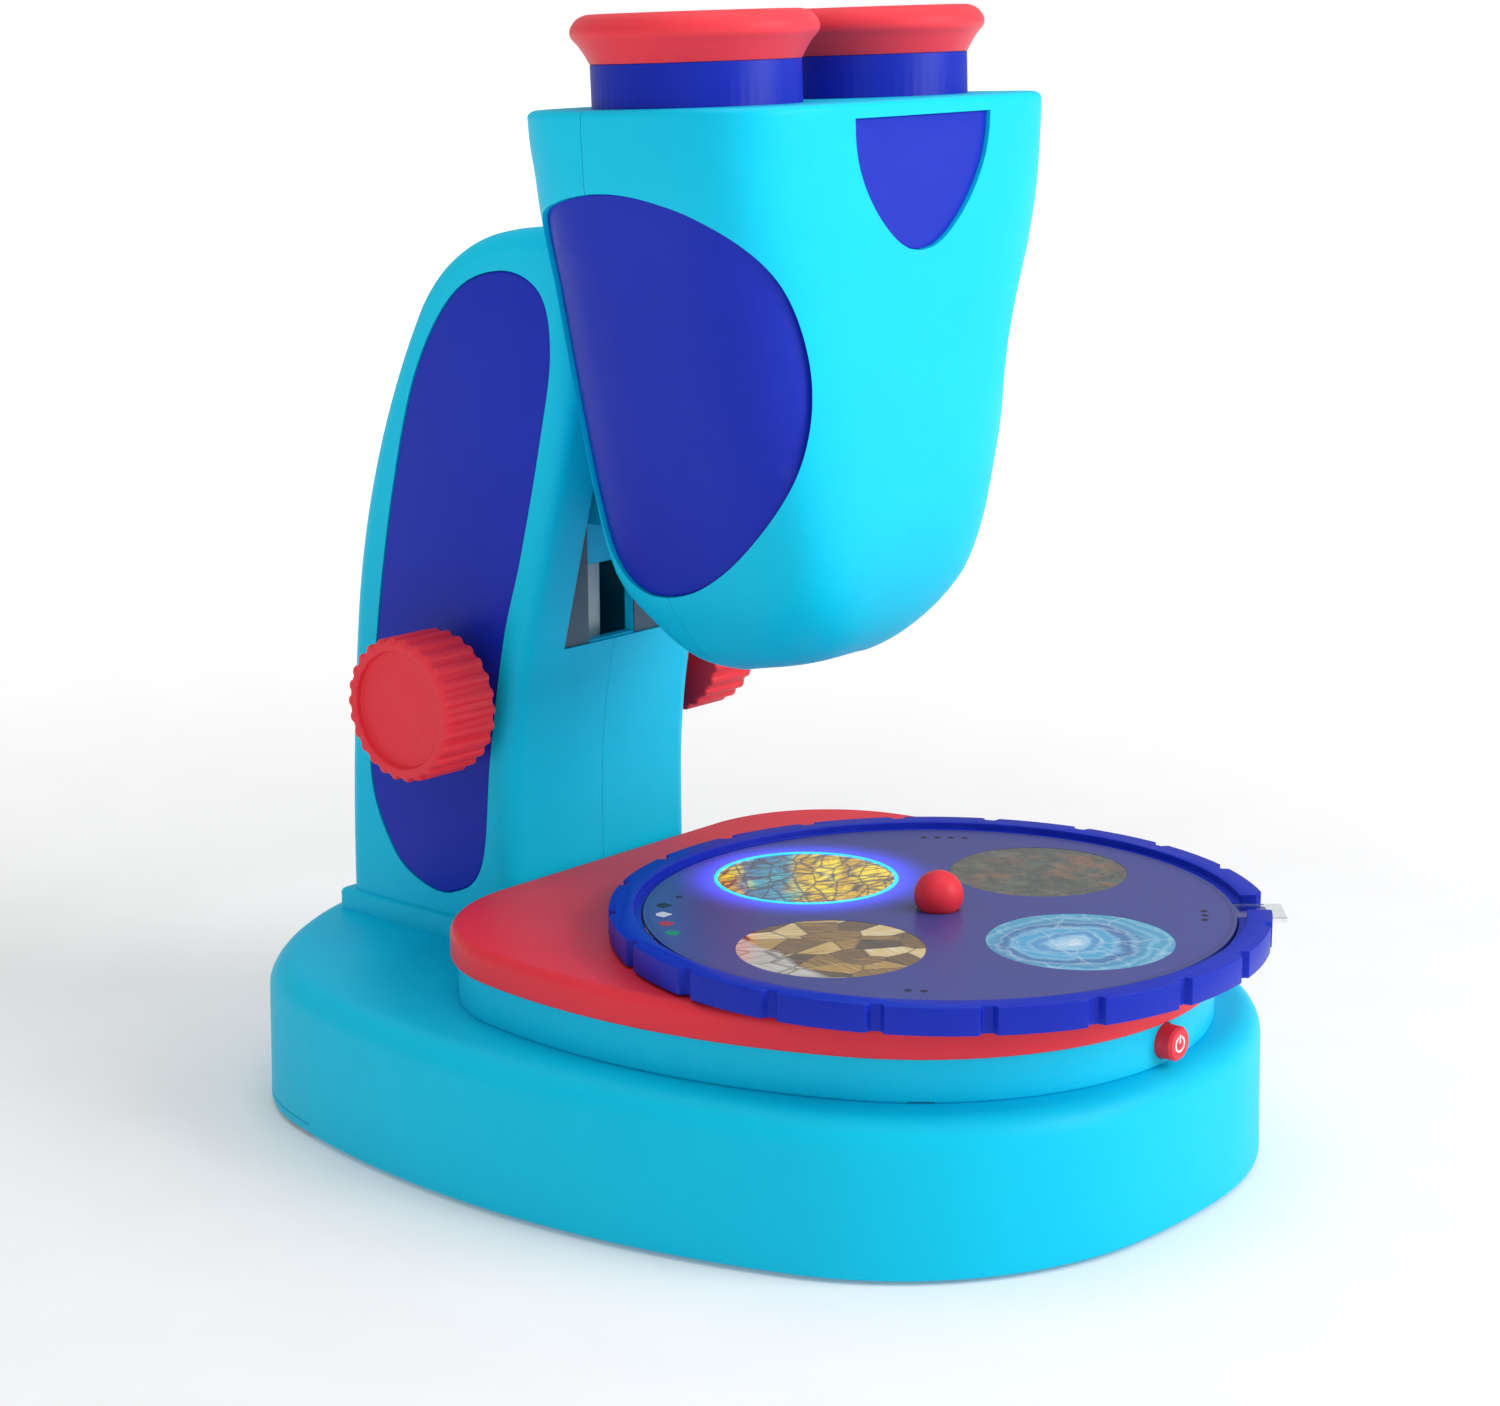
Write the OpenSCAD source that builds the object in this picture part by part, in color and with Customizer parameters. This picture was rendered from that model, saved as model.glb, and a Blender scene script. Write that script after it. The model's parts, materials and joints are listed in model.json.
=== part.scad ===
// Kids microscope: two-eyed viewer on a focusing slide, with a turning specimen tray.
// Millimetres. +Z is up, -Y is the front where the power button is, +X is the viewer's right.
// The origin is on the floor, under the centre of the whole footprint.

/* [Base] */
// Height of the base housing's flat top above the floor
base_top = 33; // [32:0.5:34]
// Wall thickness of the moulded housings
wall = 2.4; // [2:0.2:3]
// Radius of the round along the base's top edge
base_round = 6; // [4:0.5:8]

/* [Stage] */
// Height of the red stage plate's underside
plate_low = 42.4; // [42:0.1:42.8]
// Thickness of the stage plate
plate_h = 7.3; // [7:0.1:7.6]
// Outer radius of the specimen tray
tray_r = 70; // [69:0.5:71]
// Number of finger notches round the tray
notches = 20; // [16:2:24]
// Radius of each specimen window
window_r = 19.4; // [18:0.2:20]

/* [Arm] */
// Half of the arm's width
arm_half = 30.5; // [29.5:0.5:31]
// Round along the arm's side edges
arm_round = 5; // [3:0.5:6]

/* [Focus] */
// Outer radius of a focus knob
knob_r = 16.2; // [15:0.2:17]
// Number of grip ribs on a knob
knob_ribs = 26; // [20:2:32]
// Teeth on the focus pinion, module 1
pinion_teeth = 10; // [10:1:10]

/* [Head] */
// Distance from the middle to each eyepiece centre
eye_x = 27.8; // [27:0.2:28.4]
// Outer radius of an eyepiece barrel
barrel_r = 21.4; // [20:0.2:22]
// Height of the head's top at the eyepieces
head_top = 222.4; // [221:0.2:224]
// Backward lean of the head's top face, degrees
head_lean = 2.1; // [0:0.1:3]

/* [Hidden] */
$fn = 96;

cyan = [0.02, 0.76, 0.92];
royal = [0.08, 0.17, 0.72];
coral = [0.93, 0.22, 0.30];
steel = [0.75, 0.76, 0.78];
brass = [0.80, 0.66, 0.32];
dark = [0.13, 0.13, 0.15];

e = 0.01;            // overlap that keeps a cut clean
gap = 0.15;          // seam between two fitted mouldings
floor_gap = 0.8;     // housing's height above the floor
tray_y = -47.5;      // tray axis
window_d = 36.4;     // tray axis to window centre
port_y = tray_y + window_d;
tray_top = 56;
tray_low = plate_low + plate_h + 0.6;
card_top = 54.8;
button_z = 38;
knob_y = 62.6;
knob_z = 90.8;
pinion_r = pinion_teeth / 2;
shaft_r = 3;
knob_in = 37;
knob_out = 51.6;
eye_y = -5.6;
split_y = 2.5;       // seam between the head's front and back shells
slot_half = 16.5;    // half width of the arm's channel
guide_y = 46.3;      // front of the arm's vertical guide wall
arm_foot = base_top + 5;

// ---- Outlines made of tangent arcs -------------------------------------------------
// A run is [radius, sweep]; the interior lies to the left of the path. A negative sweep
// is a hollow curve, and a radius of 0 makes a straight run whose "sweep" is its length.
function turn(v, a) = [v[0] * cos(a) - v[1] * sin(a), v[0] * sin(a) + v[1] * cos(a)];
function side(h) = [-sin(h), cos(h)];
function chain(p, h, runs, i = 0) =
    i == len(runs) ? [] :
    let(r = runs[i][0], s = runs[i][1], g = s > 0 ? 1 : -1)
    r == 0
    ? concat([[p, 0, h, s]], chain(p + s * [cos(h), sin(h)], h, runs, i + 1))
    : let(c = p + g * r * side(h), a = h - 90 * g)
      concat([[c, r, a, s]], chain(c + r * [cos(a + s), sin(a + s)], h + s, runs, i + 1));
function arc_points(a, inset, step) =
    a[1] == 0
    ? [a[0] + inset * side(a[2])]
    : let(n = max(1, ceil(abs(a[3]) / step)), rr = a[1] - (a[3] > 0 ? inset : -inset))
      [for (k = [0:n - 1]) a[0] + rr * [cos(a[2] + a[3] * k / n), sin(a[2] + a[3] * k / n)]];
function loop_points(arcs, inset, step = 4) = [for (a = arcs) each arc_points(a, inset, step)];
// A closed smooth curve through the given points.
function spline_point(a, b, c, d, t) = 0.5 * (2 * b + (c - a) * t + (2 * a - 5 * b + 4 * c - d) * t * t
    + (3 * b - a - 3 * c + d) * t * t * t);
function spline(p, n = 5) = let(m = len(p))
    [for (i = [0:m - 1]) for (k = [0:n - 1])
        spline_point(p[(i + m - 1) % m], p[i], p[(i + 1) % m], p[(i + 2) % m], k / n)];
// The same outline set in along its own normals.
function inward(p, d) = let(m = len(p))
    [for (i = [0:m - 1]) let(v = p[(i + 1) % m] - p[(i + m - 1) % m]) p[i] + d * [-v[1], v[0]] / norm(v)];
function mirrored(runs) = [for (i = [len(runs) - 1:-1:0]) runs[i]];

// A solid of the given outline whose top and bottom edges are rounded, built ring by ring.
function edge_rings(h, top_r, low_r, n) = concat(
    low_r > 0 ? [for (k = [0:n - 1]) [low_r * (1 - sin(90 * k / n)), low_r * (1 - cos(90 * k / n))]] : [],
    [[0, low_r], [0, h - top_r]],
    top_r > 0 ? [for (k = [1:n]) [top_r * (1 - cos(90 * k / n)), h - top_r * (1 - sin(90 * k / n))]] : []
);
module moulding(arcs, h, top_r = 0, low_r = 0, inset = 0, step = 4, n = 5) {
    if (top_r + low_r == 0) {
        linear_extrude(h) polygon(loop_points(arcs, inset, step));
    } else {
        rings = edge_rings(h, top_r, low_r, n);
        m = len(loop_points(arcs, inset, step));
        last = len(rings) - 1;
        points = [for (r = rings) for (q = loop_points(arcs, inset + r[0], step)) [q[0], q[1], r[1]]];
        faces = concat(
            [[for (i = [0:m - 1]) i]],
            [for (k = [0:last - 1]) for (i = [0:m - 1])
                [k * m + i, (k + 1) * m + i, (k + 1) * m + (i + 1) % m, k * m + (i + 1) % m]],
            [[for (i = [m - 1:-1:0]) last * m + i]]
        );
        polyhedron(points, faces, convexity = 4);
    }
}

// Base outline, half of it from the front point to the back point.
base_front = -111.2;
base_half = [[160, 5.8], [68.3, 63.1], [217, 36.9], [48, 32.2]];
base_last = chain([0, base_front], 0, concat(base_half, [[1, 1]]))[4];
base_end = base_last[0] - side(138);
base_back_r = base_end[0] / sin(138);
base_runs = concat(base_half, [[base_back_r, 42]]);
base_arcs = chain([0, base_front], 0, concat(base_runs, mirrored(base_runs)));

// Stage plate outline, with a straight back edge.
plate_half = [[66.1, 63.6], [142, 36.4], [36, 80]];
plate_end = chain([0, tray_y - 59], 0, concat(plate_half, [[1, 1]]))[3][0] - side(180);
plate_runs = concat(plate_half, [[0, plate_end[0] * 2]], mirrored(plate_half));
plate_arcs = chain([0, tray_y - 59], 0, plate_runs);

// Arm outline seen from the side: x here is the part's Y, y is the part's Z.
arm_runs = [
    [0, 7.2], [572, 6.83], [189, 22.57], [38, 47.5], [73, 13.1], [8, 90],
    [0, 13], [56, 14.6], [0, 58.4], [164, -14.6], [0, 33.3], [6, 90]
];
arm_back_y = 104;
arm_start = 30;
arm_side_arcs = chain([arm_back_y, arm_start], 90, arm_runs);
arm_last = arm_side_arcs[11];
arm_front_y = arm_last[0][0] - 6;
arm_low = arm_last[0][1] - 6;
arm_arcs = concat(arm_side_arcs,
    chain([arm_front_y + 6, arm_low], 0, [[0, arm_back_y - arm_front_y - 12], [arm_start - arm_low, 90]]));

// Turns a side-view shape so that its x is Y, its y is Z and it grows towards +X.
module side_on(x0) {
    translate([x0, 0, 0]) rotate([90, 0, 90]) children();
}

// ---- Base ---------------------------------------------------------------------------
cover_y = 62.8;      // the rear cover starts behind this line
cover_top = 27.7;
cover_low = 3;
foot_at = [[50, -70], [-50, -70], [50, 84], [-50, 84]];
base_screw_at = [[30, -92], [-30, -92], [76, 20], [-76, 20]];
holder_x = 25.5;
holder_y = [50, 104.5];
holder_z = [3.2, 22];
cell_r = 7.1;
cell_len = 49.2;
cell_y = 53.4;
cell_z = 12.4;
cell_pitch = 15.8;

module base_inside(inset, z0, z1) {
    translate([0, 0, z0]) linear_extrude(z1 - z0) polygon(loop_points(base_arcs, inset, 5));
}
module rear_half(y0, z0, z1) {
    translate([-120, y0, z0]) cube([240, 120, z1 - z0]);
}
module base_shell() {
    color(cyan) difference() {
        union() {
            difference() {
                translate([0, 0, floor_gap]) moulding(base_arcs, base_top - floor_gap, base_round, 0, 0, 3);
                base_inside(wall, -1, base_top - wall);
            }
            // raised collar under the arm
            translate([-32, arm_front_y + 0.4, base_top - wall + e])
                cube([64, 105.5 - arm_front_y - 0.4, arm_foot - base_top + wall - e]);
            // posts for the floor screws
            for (p = base_screw_at) translate([p[0], p[1], 5]) cylinder(h = base_top - wall - 5 + e, r = 4);
        }
        rear_half(cover_y, -1, cover_top);
        // cable way up into the arm and into the stage
        translate([0, 72, base_top - 6]) cylinder(h = 20, r = 7);
        translate([0, -60, base_top - 6]) cylinder(h = 20, r = 16);
        for (p = base_screw_at) translate([p[0], p[1], 4]) cylinder(h = 16, r = 1.4);
    }
}
module base_bottom() {
    color(cyan) difference() {
        union() {
            difference() {
                base_inside(wall + gap, floor_gap, floor_gap + 2);
                rear_half(cover_y - e, -1, 9);
            }
            intersection() {
                translate([0, 0, floor_gap]) moulding(base_arcs, 2);
                rear_half(cover_y + gap, -1, 9);
            }
            translate([-40, cover_y - 6, floor_gap]) cube([80, 7, 2]);
            for (p = base_screw_at) translate([p[0], p[1], floor_gap])
                cylinder(h = 5 - floor_gap - e, r = 4.6);
        }
        for (p = base_screw_at) translate([p[0], p[1], -1]) cylinder(h = 8, r = 1.7);
        for (p = base_screw_at) translate([p[0], p[1], -1]) cylinder(h = 3.6, r = 3.2);
        for (p = foot_at) translate([p[0], p[1], -1]) cylinder(h = 2.6, r = 6.1);
    }
}
module rear_cover() {
    color(cyan) union() {
        difference() {
            intersection() {
                translate([0, 0, cover_low]) moulding(base_arcs, cover_top - gap - cover_low);
                rear_half(cover_y + gap, cover_low, cover_top);
            }
            base_inside(wall, -1, 60);
        }
        intersection() {
            base_inside(wall / 2, cover_low, cover_top - 1);
            union() {
                // ribs behind the battery strip
                for (x = [-20, 20]) translate([x - 1, 105.6, 6]) cube([2, 12, 14]);
                // stiffening ledges near the upper edge
                for (x = [-42, 42]) translate([x - 5, 102.6, cover_top - 3]) cube([10, 12, 2]);
            }
        }
    }
}
module rubber_feet() {
    color(dark) for (p = foot_at) translate([p[0], p[1], 0]) cylinder(h = 1.6 - e, r = 6);
}
module screw(r, len, head_r, head_h) {
    difference() {
        union() {
            cylinder(h = head_h, r = head_r);
            cylinder(h = len, r = r);
        }
        for (a = [0, 90]) rotate([0, 0, a]) translate([-head_r * 0.6, -0.35, -e])
            cube([head_r * 1.2, 0.7, head_h * 0.5]);
    }
}
module base_screws() {
    color(steel) for (p = base_screw_at) translate([p[0], p[1], floor_gap]) screw(1.35, 14, 2.9, 1.7);
}
module battery_holder() {
    color(dark) difference() {
        translate([-holder_x, holder_y[0], holder_z[0]])
            cube([holder_x * 2, holder_y[1] - holder_y[0], holder_z[1] - holder_z[0]]);
        for (i = [-1:1]) translate([i * cell_pitch, holder_y[0] + 1.5, cell_z]) rotate([-90, 0, 0])
            cylinder(h = 60, r = cell_r + 0.3);
        // step for the contact strip
        translate([-holder_x + 1.5, holder_y[1] - 1.1, 6]) cube([holder_x * 2 - 3, 2, 13]);
    }
}
module cell(i) {
    translate([i * cell_pitch, cell_y, cell_z]) rotate([-90, 0, 0]) union() {
        cylinder(h = cell_len - 1, r = cell_r);
        translate([0, 0, cell_len - 1 - e]) cylinder(h = 1, r = 2.7);
    }
}
module battery_left() { color([0.85, 0.72, 0.30]) cell(-1); }
module battery_middle() { color([0.85, 0.72, 0.30]) cell(0); }
module battery_right() { color([0.85, 0.72, 0.30]) cell(1); }
module battery_springs() {
    color(steel) for (i = [-1:1]) translate([i * cell_pitch, holder_y[0] + 1.5, cell_z]) rotate([-90, 0, 0])
        difference() {
            cylinder(h = cell_y - holder_y[0] - 1.5 - e, r1 = 4.6, r2 = 2.6);
            translate([0, 0, 0.4]) cylinder(h = 4, r1 = 3.8, r2 = 1.9);
        }
}
module battery_strip() {
    color(brass) translate([-holder_x + 2, holder_y[1] - 1.1 + gap, 7]) cube([holder_x * 2 - 4, 0.8, 11]);
}

// ---- Stage --------------------------------------------------------------------------
riser_in = 1.6;
spindle_r = 4;
module stage_housing() {
    color(cyan) difference() {
        translate([0, 0, base_top]) moulding(plate_arcs, plate_low - base_top, 0, 0, riser_in);
        translate([0, 0, base_top - 1]) linear_extrude(plate_low - base_top + 2)
            polygon(loop_points(plate_arcs, riser_in + wall, 5));
        // hole for the power button
        translate([0, -90, button_z]) rotate([90, 0, 0]) cylinder(h = 30, r = 3.75);
    }
}
module stage_plate() {
    color(coral) union() {
        difference() {
            translate([0, 0, plate_low]) moulding(plate_arcs, plate_h, 2.2, 0.8);
            translate([0, 0, plate_low - 1]) linear_extrude(plate_h - 2)
                polygon(loop_points(plate_arcs, wall + 0.6, 5));
            // light opening under the viewing position
            translate([0, port_y, plate_low]) cylinder(h = 20, r = 21.2);
        }
        // solid hub and the pin that the tray turns on
        translate([0, tray_y, plate_low + e]) cylinder(h = 5, r = 9);
        translate([0, tray_y, plate_low + e]) cylinder(h = 11, r = spindle_r);
        // locating rib inside the stage housing
        translate([-12, plate_end[1] - 12, plate_low - 4]) cube([24, 3, 9]);
    }
}
ring_low = plate_low + plate_h - 3.4;
lamp_top = base_top + 3.6;
module light_ring() {
    color([0.85, 0.97, 1.0]) translate([0, port_y, ring_low]) union() {
        cylinder(h = 3.2, r = 21);
        for (a = [0:120:240]) rotate([0, 0, a]) translate([15, 0, lamp_top - ring_low])
            cylinder(h = ring_low - lamp_top + e, r = 1.6);
    }
}
module lamp_board() {
    color([0.10, 0.42, 0.24]) translate([0, port_y, base_top]) union() {
        translate([0, 0, 2]) cylinder(h = 1.6, r = 18);
        for (a = [60:120:300]) rotate([0, 0, a]) translate([14, 0, 0]) cylinder(h = 2 + e, r = 2);
    }
}
module stage_lamp() {
    color([1, 1, 0.9]) for (a = [0:60:300]) translate([0, port_y, lamp_top]) rotate([0, 0, a])
        translate([9, 0, 0]) union() {
            cylinder(h = 2.2, r = 2.4);
            translate([0, 0, 2.2 - e]) cylinder(h = 1.6, r1 = 2.2, r2 = 1.2);
        }
}
switch_y = -93.4;
module control_board() {
    color([0.10, 0.42, 0.24]) translate([-16, switch_y + 4, base_top]) cube([32, 1.6, 8]);
}
module button_switch() {
    color(dark) translate([0, switch_y + 4, button_z]) rotate([90, 0, 0]) union() {
        translate([-3, -3, 0]) cube([6, 6, 2.6]);
        translate([0, 0, 2.6 - e]) cylinder(h = 1.1, r = 1.6);
    }
}
button_front = -108.6;
flange_y = 100.8;
press = 1;           // how far the button goes in
module power_button() {
    color(coral) translate([0, 0, button_z]) rotate([90, 0, 0]) difference() {
        union() {
            translate([0, 0, flange_y]) cylinder(h = -button_front - 0.6 - flange_y, r = 3.6);
            translate([0, 0, -button_front - 0.6 - e]) cylinder(h = 0.6 + e, r1 = 3.6, r2 = 3.1);
            // flange that keeps it in, and its stem to the switch
            translate([0, 0, flange_y]) cylinder(h = 1.2, r = 4.4);
            translate([0, 0, -switch_y + press + 0.1]) cylinder(h = flange_y + switch_y, r = 1.5);
        }
        translate([0, 0, -button_front - 0.35]) power_sign(0.08, 2);
    }
}
module power_sign(grow, h) {
    linear_extrude(h) union() {
        difference() {
            circle(1.75 + grow);
            circle(1.3 - grow);
            translate([-0.55 + grow, 0]) square([1.1 - 2 * grow, 3]);
        }
        translate([-0.22 - grow, 0.2 - grow]) square([0.44 + 2 * grow, 1.8 + 2 * grow]);
    }
}
module power_mark() {
    color([0.97, 0.97, 0.97]) translate([0, 0, button_z]) rotate([90, 0, 0])
        translate([0, 0, -button_front - 0.35 + e]) power_sign(0, 0.33);
}

// ---- Specimen tray ------------------------------------------------------------------
tab_at = 310;
rim_w = 5.2;
module on_windows() {
    for (i = [0:3]) rotate([0, 0, i * 90]) translate([0, window_d, 0]) children();
}
module specimen_tray() {
    color(royal) translate([0, tray_y, 0]) difference() {
        translate([0, 0, tray_low]) cylinder(h = tray_top - tray_low, r = tray_r);
        // well for the specimen disc, with a step round it
        translate([0, 0, card_top - 2.4]) cylinder(h = 10, r = tray_r - rim_w - 1.8);
        translate([0, 0, card_top - 0.4]) cylinder(h = 10, r = tray_r - rim_w);
        translate([0, 0, 40]) cylinder(h = 20, r = spindle_r + 1.5);
        on_windows() translate([0, 0, 40]) cylinder(h = 20, r = window_r - 0.8);
        // finger notches with sloping ends
        for (i = [0:notches - 1]) rotate([0, 0, 9 + i * 360 / notches]) translate([tray_r, 0, 40])
            linear_extrude(30) polygon([[-1.5, -1.0], [-1.5, 1.0], [0.6, 2.2], [0.6, -2.2]]);
        // channel that the disc's pull tab lies in
        rotate([0, 0, tab_at]) translate([tray_r - 10, -5.4, card_top - 1.9]) cube([14, 10.8, 8]);
    }
}
module tray_bush() {
    color([0.92, 0.92, 0.94]) translate([0, tray_y, tray_low]) difference() {
        cylinder(h = 2.1, r = spindle_r + 1.5);
        translate([0, 0, -1]) cylinder(h = 6, r = spindle_r + 0.05);
    }
}
module disc_carrier() {
    color([0.86, 0.90, 0.95, 0.6]) translate([0, tray_y, card_top - 2.4 + e]) difference() {
        union() {
            cylinder(h = 1.7, r = tray_r - rim_w - 2.1);
            // pull tab that sticks out past the rim
            rotate([0, 0, tab_at]) translate([tray_r - 14, -5, 0.6]) cube([17.2, 10, 1.1]);
        }
        translate([0, 0, -5]) cylinder(h = 20, r = spindle_r + 0.4);
        on_windows() translate([0, 0, 0.4]) cylinder(h = 10, r = window_r + 0.05);
    }
}
module disc_card() {
    color([0.36, 0.38, 0.64]) translate([0, tray_y, card_top - 0.65]) difference() {
        cylinder(h = 0.65, r = tray_r - rim_w - 2.1);
        translate([0, 0, -5]) cylinder(h = 20, r = spindle_r + 0.4);
        on_windows() translate([0, 0, -5]) cylinder(h = 10, r = window_r + 0.05);
    }
}
module specimen(i) {
    translate([0, tray_y, card_top - 1.95]) rotate([0, 0, i * 90]) translate([0, window_d, 0])
        cylinder(h = 1.9, r = window_r);
}
module specimen_crystal() { color([0.85, 0.80, 0.15]) specimen(0); }
module specimen_pyrite() { color([0.55, 0.36, 0.10]) specimen(1); }
module specimen_agate() { color([0.08, 0.45, 0.70]) specimen(2); }
module specimen_lava() { color([0.20, 0.22, 0.16]) specimen(3); }
module tray_knob() {
    color(coral) translate([0, tray_y, 0]) union() {
        difference() {
            translate([0, 0, card_top + 3]) sphere(5.3);
            translate([0, 0, 40]) cylinder(h = card_top - 40, r = 9);
        }
        translate([0, 0, card_top - 1.1]) cylinder(h = 2, r = spindle_r);
    }
}

// ---- Arm ----------------------------------------------------------------------------
arm_wall = 3.2;
slot_low = 101;
slot_top = 184;
neck_half = 7;
neck_z = [128, 160];
focus_down = 12;
focus_up = 10;
arm_screw_at = [[92, 54], [88, 122], [62, 176]];
module arm_outline(inset) {
    polygon(loop_points(arm_arcs, inset, 4));
}
// Blue side panel seen from the side: narrow and round-ended, nearer the front edge.
panel_curve = spline([
    [58.8, 51.5], [68.3, 43.4], [78.9, 44.1], [88.2, 51], [94.7, 68.5], [91.2, 101], [85.1, 133],
    [76.3, 162], [63.5, 180.5], [48.5, 186.2], [37.2, 182], [34.4, 169], [38.2, 149], [44.5, 124],
    [50.2, 105], [55.2, 78]
]);
module panel_outline(shrink) {
    polygon(inward(panel_curve, shrink));
}
module arm_half_shell() {
    difference() {
        union() {
            difference() {
                side_on(0) moulding(arm_arcs, arm_half, arm_round);
                side_on(-e) linear_extrude(arm_half - arm_wall + e) arm_outline(wall);
            }
            // walls of the channel that the head's neck runs in
            intersection() {
                side_on(0) linear_extrude(arm_half - arm_wall) arm_outline(0.5);
                difference() {
                    translate([0, 20, slot_low - wall])
                        cube([slot_half + wall, guide_y + wall - 20, slot_top - slot_low + 2 * wall]);
                    translate([-e, 10, slot_low]) cube([slot_half + e, guide_y - 10, slot_top - slot_low]);
                }
            }
            // boss round the focus shaft
            side_on(20) translate([knob_y, knob_z]) linear_extrude(arm_half - arm_wall - 20 + e) circle(6.5);
            // screw posts
            for (p = arm_screw_at) side_on(0) translate(p) linear_extrude(arm_half - arm_wall + e) circle(4);
        }
        // open mouth of the channel
        translate([-e, 10, slot_low]) cube([slot_half + e, guide_y - 10, slot_top - slot_low]);
        // slot for the neck through the guide wall
        translate([-e, guide_y - 1, neck_z[0] - focus_down - 1.5])
            cube([neck_half + 0.4, wall + 2, neck_z[1] - neck_z[0] + focus_down + focus_up + 3]);
        // bearing for the focus shaft
        translate([10, knob_y, knob_z]) rotate([0, 90, 0]) cylinder(h = 40, r = shaft_r + 0.05);
        // recess for the side panel
        side_on(arm_half - 1.2) linear_extrude(3) panel_outline(0);
        // flat foot
        translate([-e, 0, 0]) cube([60, 140, arm_foot]);
    }
}
module arm_left() {
    color(cyan) mirror([1, 0, 0]) difference() {
        arm_half_shell();
        for (p = arm_screw_at) side_on(-e) translate(p) linear_extrude(14) circle(1.25);
    }
}
module arm_right() {
    color(cyan) difference() {
        arm_half_shell();
        for (p = arm_screw_at) side_on(-e) translate(p) linear_extrude(40) circle(1.6);
        for (p = arm_screw_at) side_on(arm_half - 1.2 - 2.3) translate(p) linear_extrude(8) circle(3.2);
    }
}
module arm_panel() {
    difference() {
        side_on(arm_half - 1.2 + e) linear_extrude(1.1) panel_outline(gap);
        translate([10, knob_y, knob_z]) rotate([0, 90, 0]) cylinder(h = 40, r = 8.2);
    }
}
module arm_panel_left() { color(royal) mirror([1, 0, 0]) arm_panel(); }
module arm_panel_right() { color(royal) arm_panel(); }
module arm_screws() {
    color(steel) for (p = arm_screw_at) translate([arm_half - 1.4, p[0], p[1]]) rotate([0, -90, 0])
        screw(1.2, 38, 2.9, 1.8);
}

// ---- Focus drive --------------------------------------------------------------------
module on_shaft() {
    translate([0, knob_y, knob_z]) rotate([0, 90, 0]) children();
}
flat_d = 2.3;
flat_at = 38.6;
module focus_shaft() {
    color(steel) on_shaft() difference() {
        translate([0, 0, -knob_out + 4]) cylinder(h = 2 * (knob_out - 4), r = shaft_r);
        // flats at both ends that key the knobs
        for (s = [-1, 1]) translate([flat_d, -5, s > 0 ? flat_at : -flat_at - 10]) cube([4, 10, 10]);
    }
}
module focus_pinion() {
    color([0.93, 0.93, 0.90]) on_shaft() difference() {
        union() {
            translate([0, 0, -4.5]) linear_extrude(9) union() {
                circle(pinion_r - 1.2);
                for (i = [0:pinion_teeth - 1]) rotate([0, 0, i * 360 / pinion_teeth])
                    polygon([[pinion_r - 1.6, -1.05], [pinion_r, -0.66], [pinion_r + 0.8, -0.24],
                        [pinion_r + 0.8, 0.24], [pinion_r, 0.66], [pinion_r - 1.6, 1.05]]);
            }
            translate([0, 0, 4.4]) cylinder(h = 2, r = 4.6);
        }
        translate([0, 0, -10]) cylinder(h = 30, r = shaft_r + 0.01);
    }
}
module knob() {
    difference() {
        union() {
            translate([0, 0, knob_in]) linear_extrude(knob_out - knob_in - 1) union() {
                circle(knob_r - 0.7);
                for (i = [0:knob_ribs - 1]) rotate([0, 0, i * 360 / knob_ribs])
                    translate([knob_r - 1.35, 0]) circle(1.35, $fn = 24);
            }
            translate([0, 0, knob_out - 1 - e]) cylinder(h = 1, r1 = knob_r - 0.7, r2 = knob_r - 1.5);
            translate([0, 0, arm_half + 0.4]) cylinder(h = knob_in - arm_half, r = 7.6);
        }
        // dished face
        translate([0, 0, knob_out - 1.6]) cylinder(h = 3, r = knob_r - 3.1);
        // socket for the shaft, with its flat
        translate([0, 0, arm_half]) cylinder(h = flat_at - arm_half, r = shaft_r + 0.02);
        intersection() {
            translate([0, 0, arm_half]) cylinder(h = knob_out - 3.8 - arm_half, r = shaft_r + 0.02);
            translate([-5, -5, arm_half]) cube([5 + flat_d + 0.02, 10, 50]);
        }
    }
}
module knob_right() { color(coral) on_shaft() knob(); }
module knob_left() { color(coral) mirror([1, 0, 0]) on_shaft() knob(); }

rack_back = knob_y - pinion_r;
module focus_rack() {
    color([0.93, 0.93, 0.90]) union() {
        translate([-4, rack_back - 4.2, 76]) cube([8, 3, 60]);
        // teeth facing the pinion, one at its height at rest
        for (i = [-5:9]) side_on(-4) translate([rack_back, knob_z + i * PI]) linear_extrude(8)
            polygon([[-1.3, -1.05], [0, -0.66], [0.8, -0.26], [0.8, 0.26], [0, 0.66], [-1.3, 1.05]]);
    }
}
module head_carriage() {
    color(cyan) union() {
        // slide plate behind the guide wall
        translate([-13, guide_y + wall + 0.3, 118])
            cube([26, rack_back - 4.2 - guide_y - wall - 0.3 - e, 48]);
        // neck through the slot
        translate([-neck_half, 24.6, neck_z[0]])
            cube([2 * neck_half, guide_y + wall + 0.3 - 24.6 + e, neck_z[1] - neck_z[0]]);
        // foot plate screwed inside the head's back shell
        translate([-12, 24.6 - 5.8, neck_z[0] - 1]) cube([24, 2.2, neck_z[1] - neck_z[0] + 2]);
        translate([-neck_half, 24.6 - 3.8, neck_z[0]]) cube([2 * neck_half, 4, neck_z[1] - neck_z[0]]);
    }
}

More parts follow.
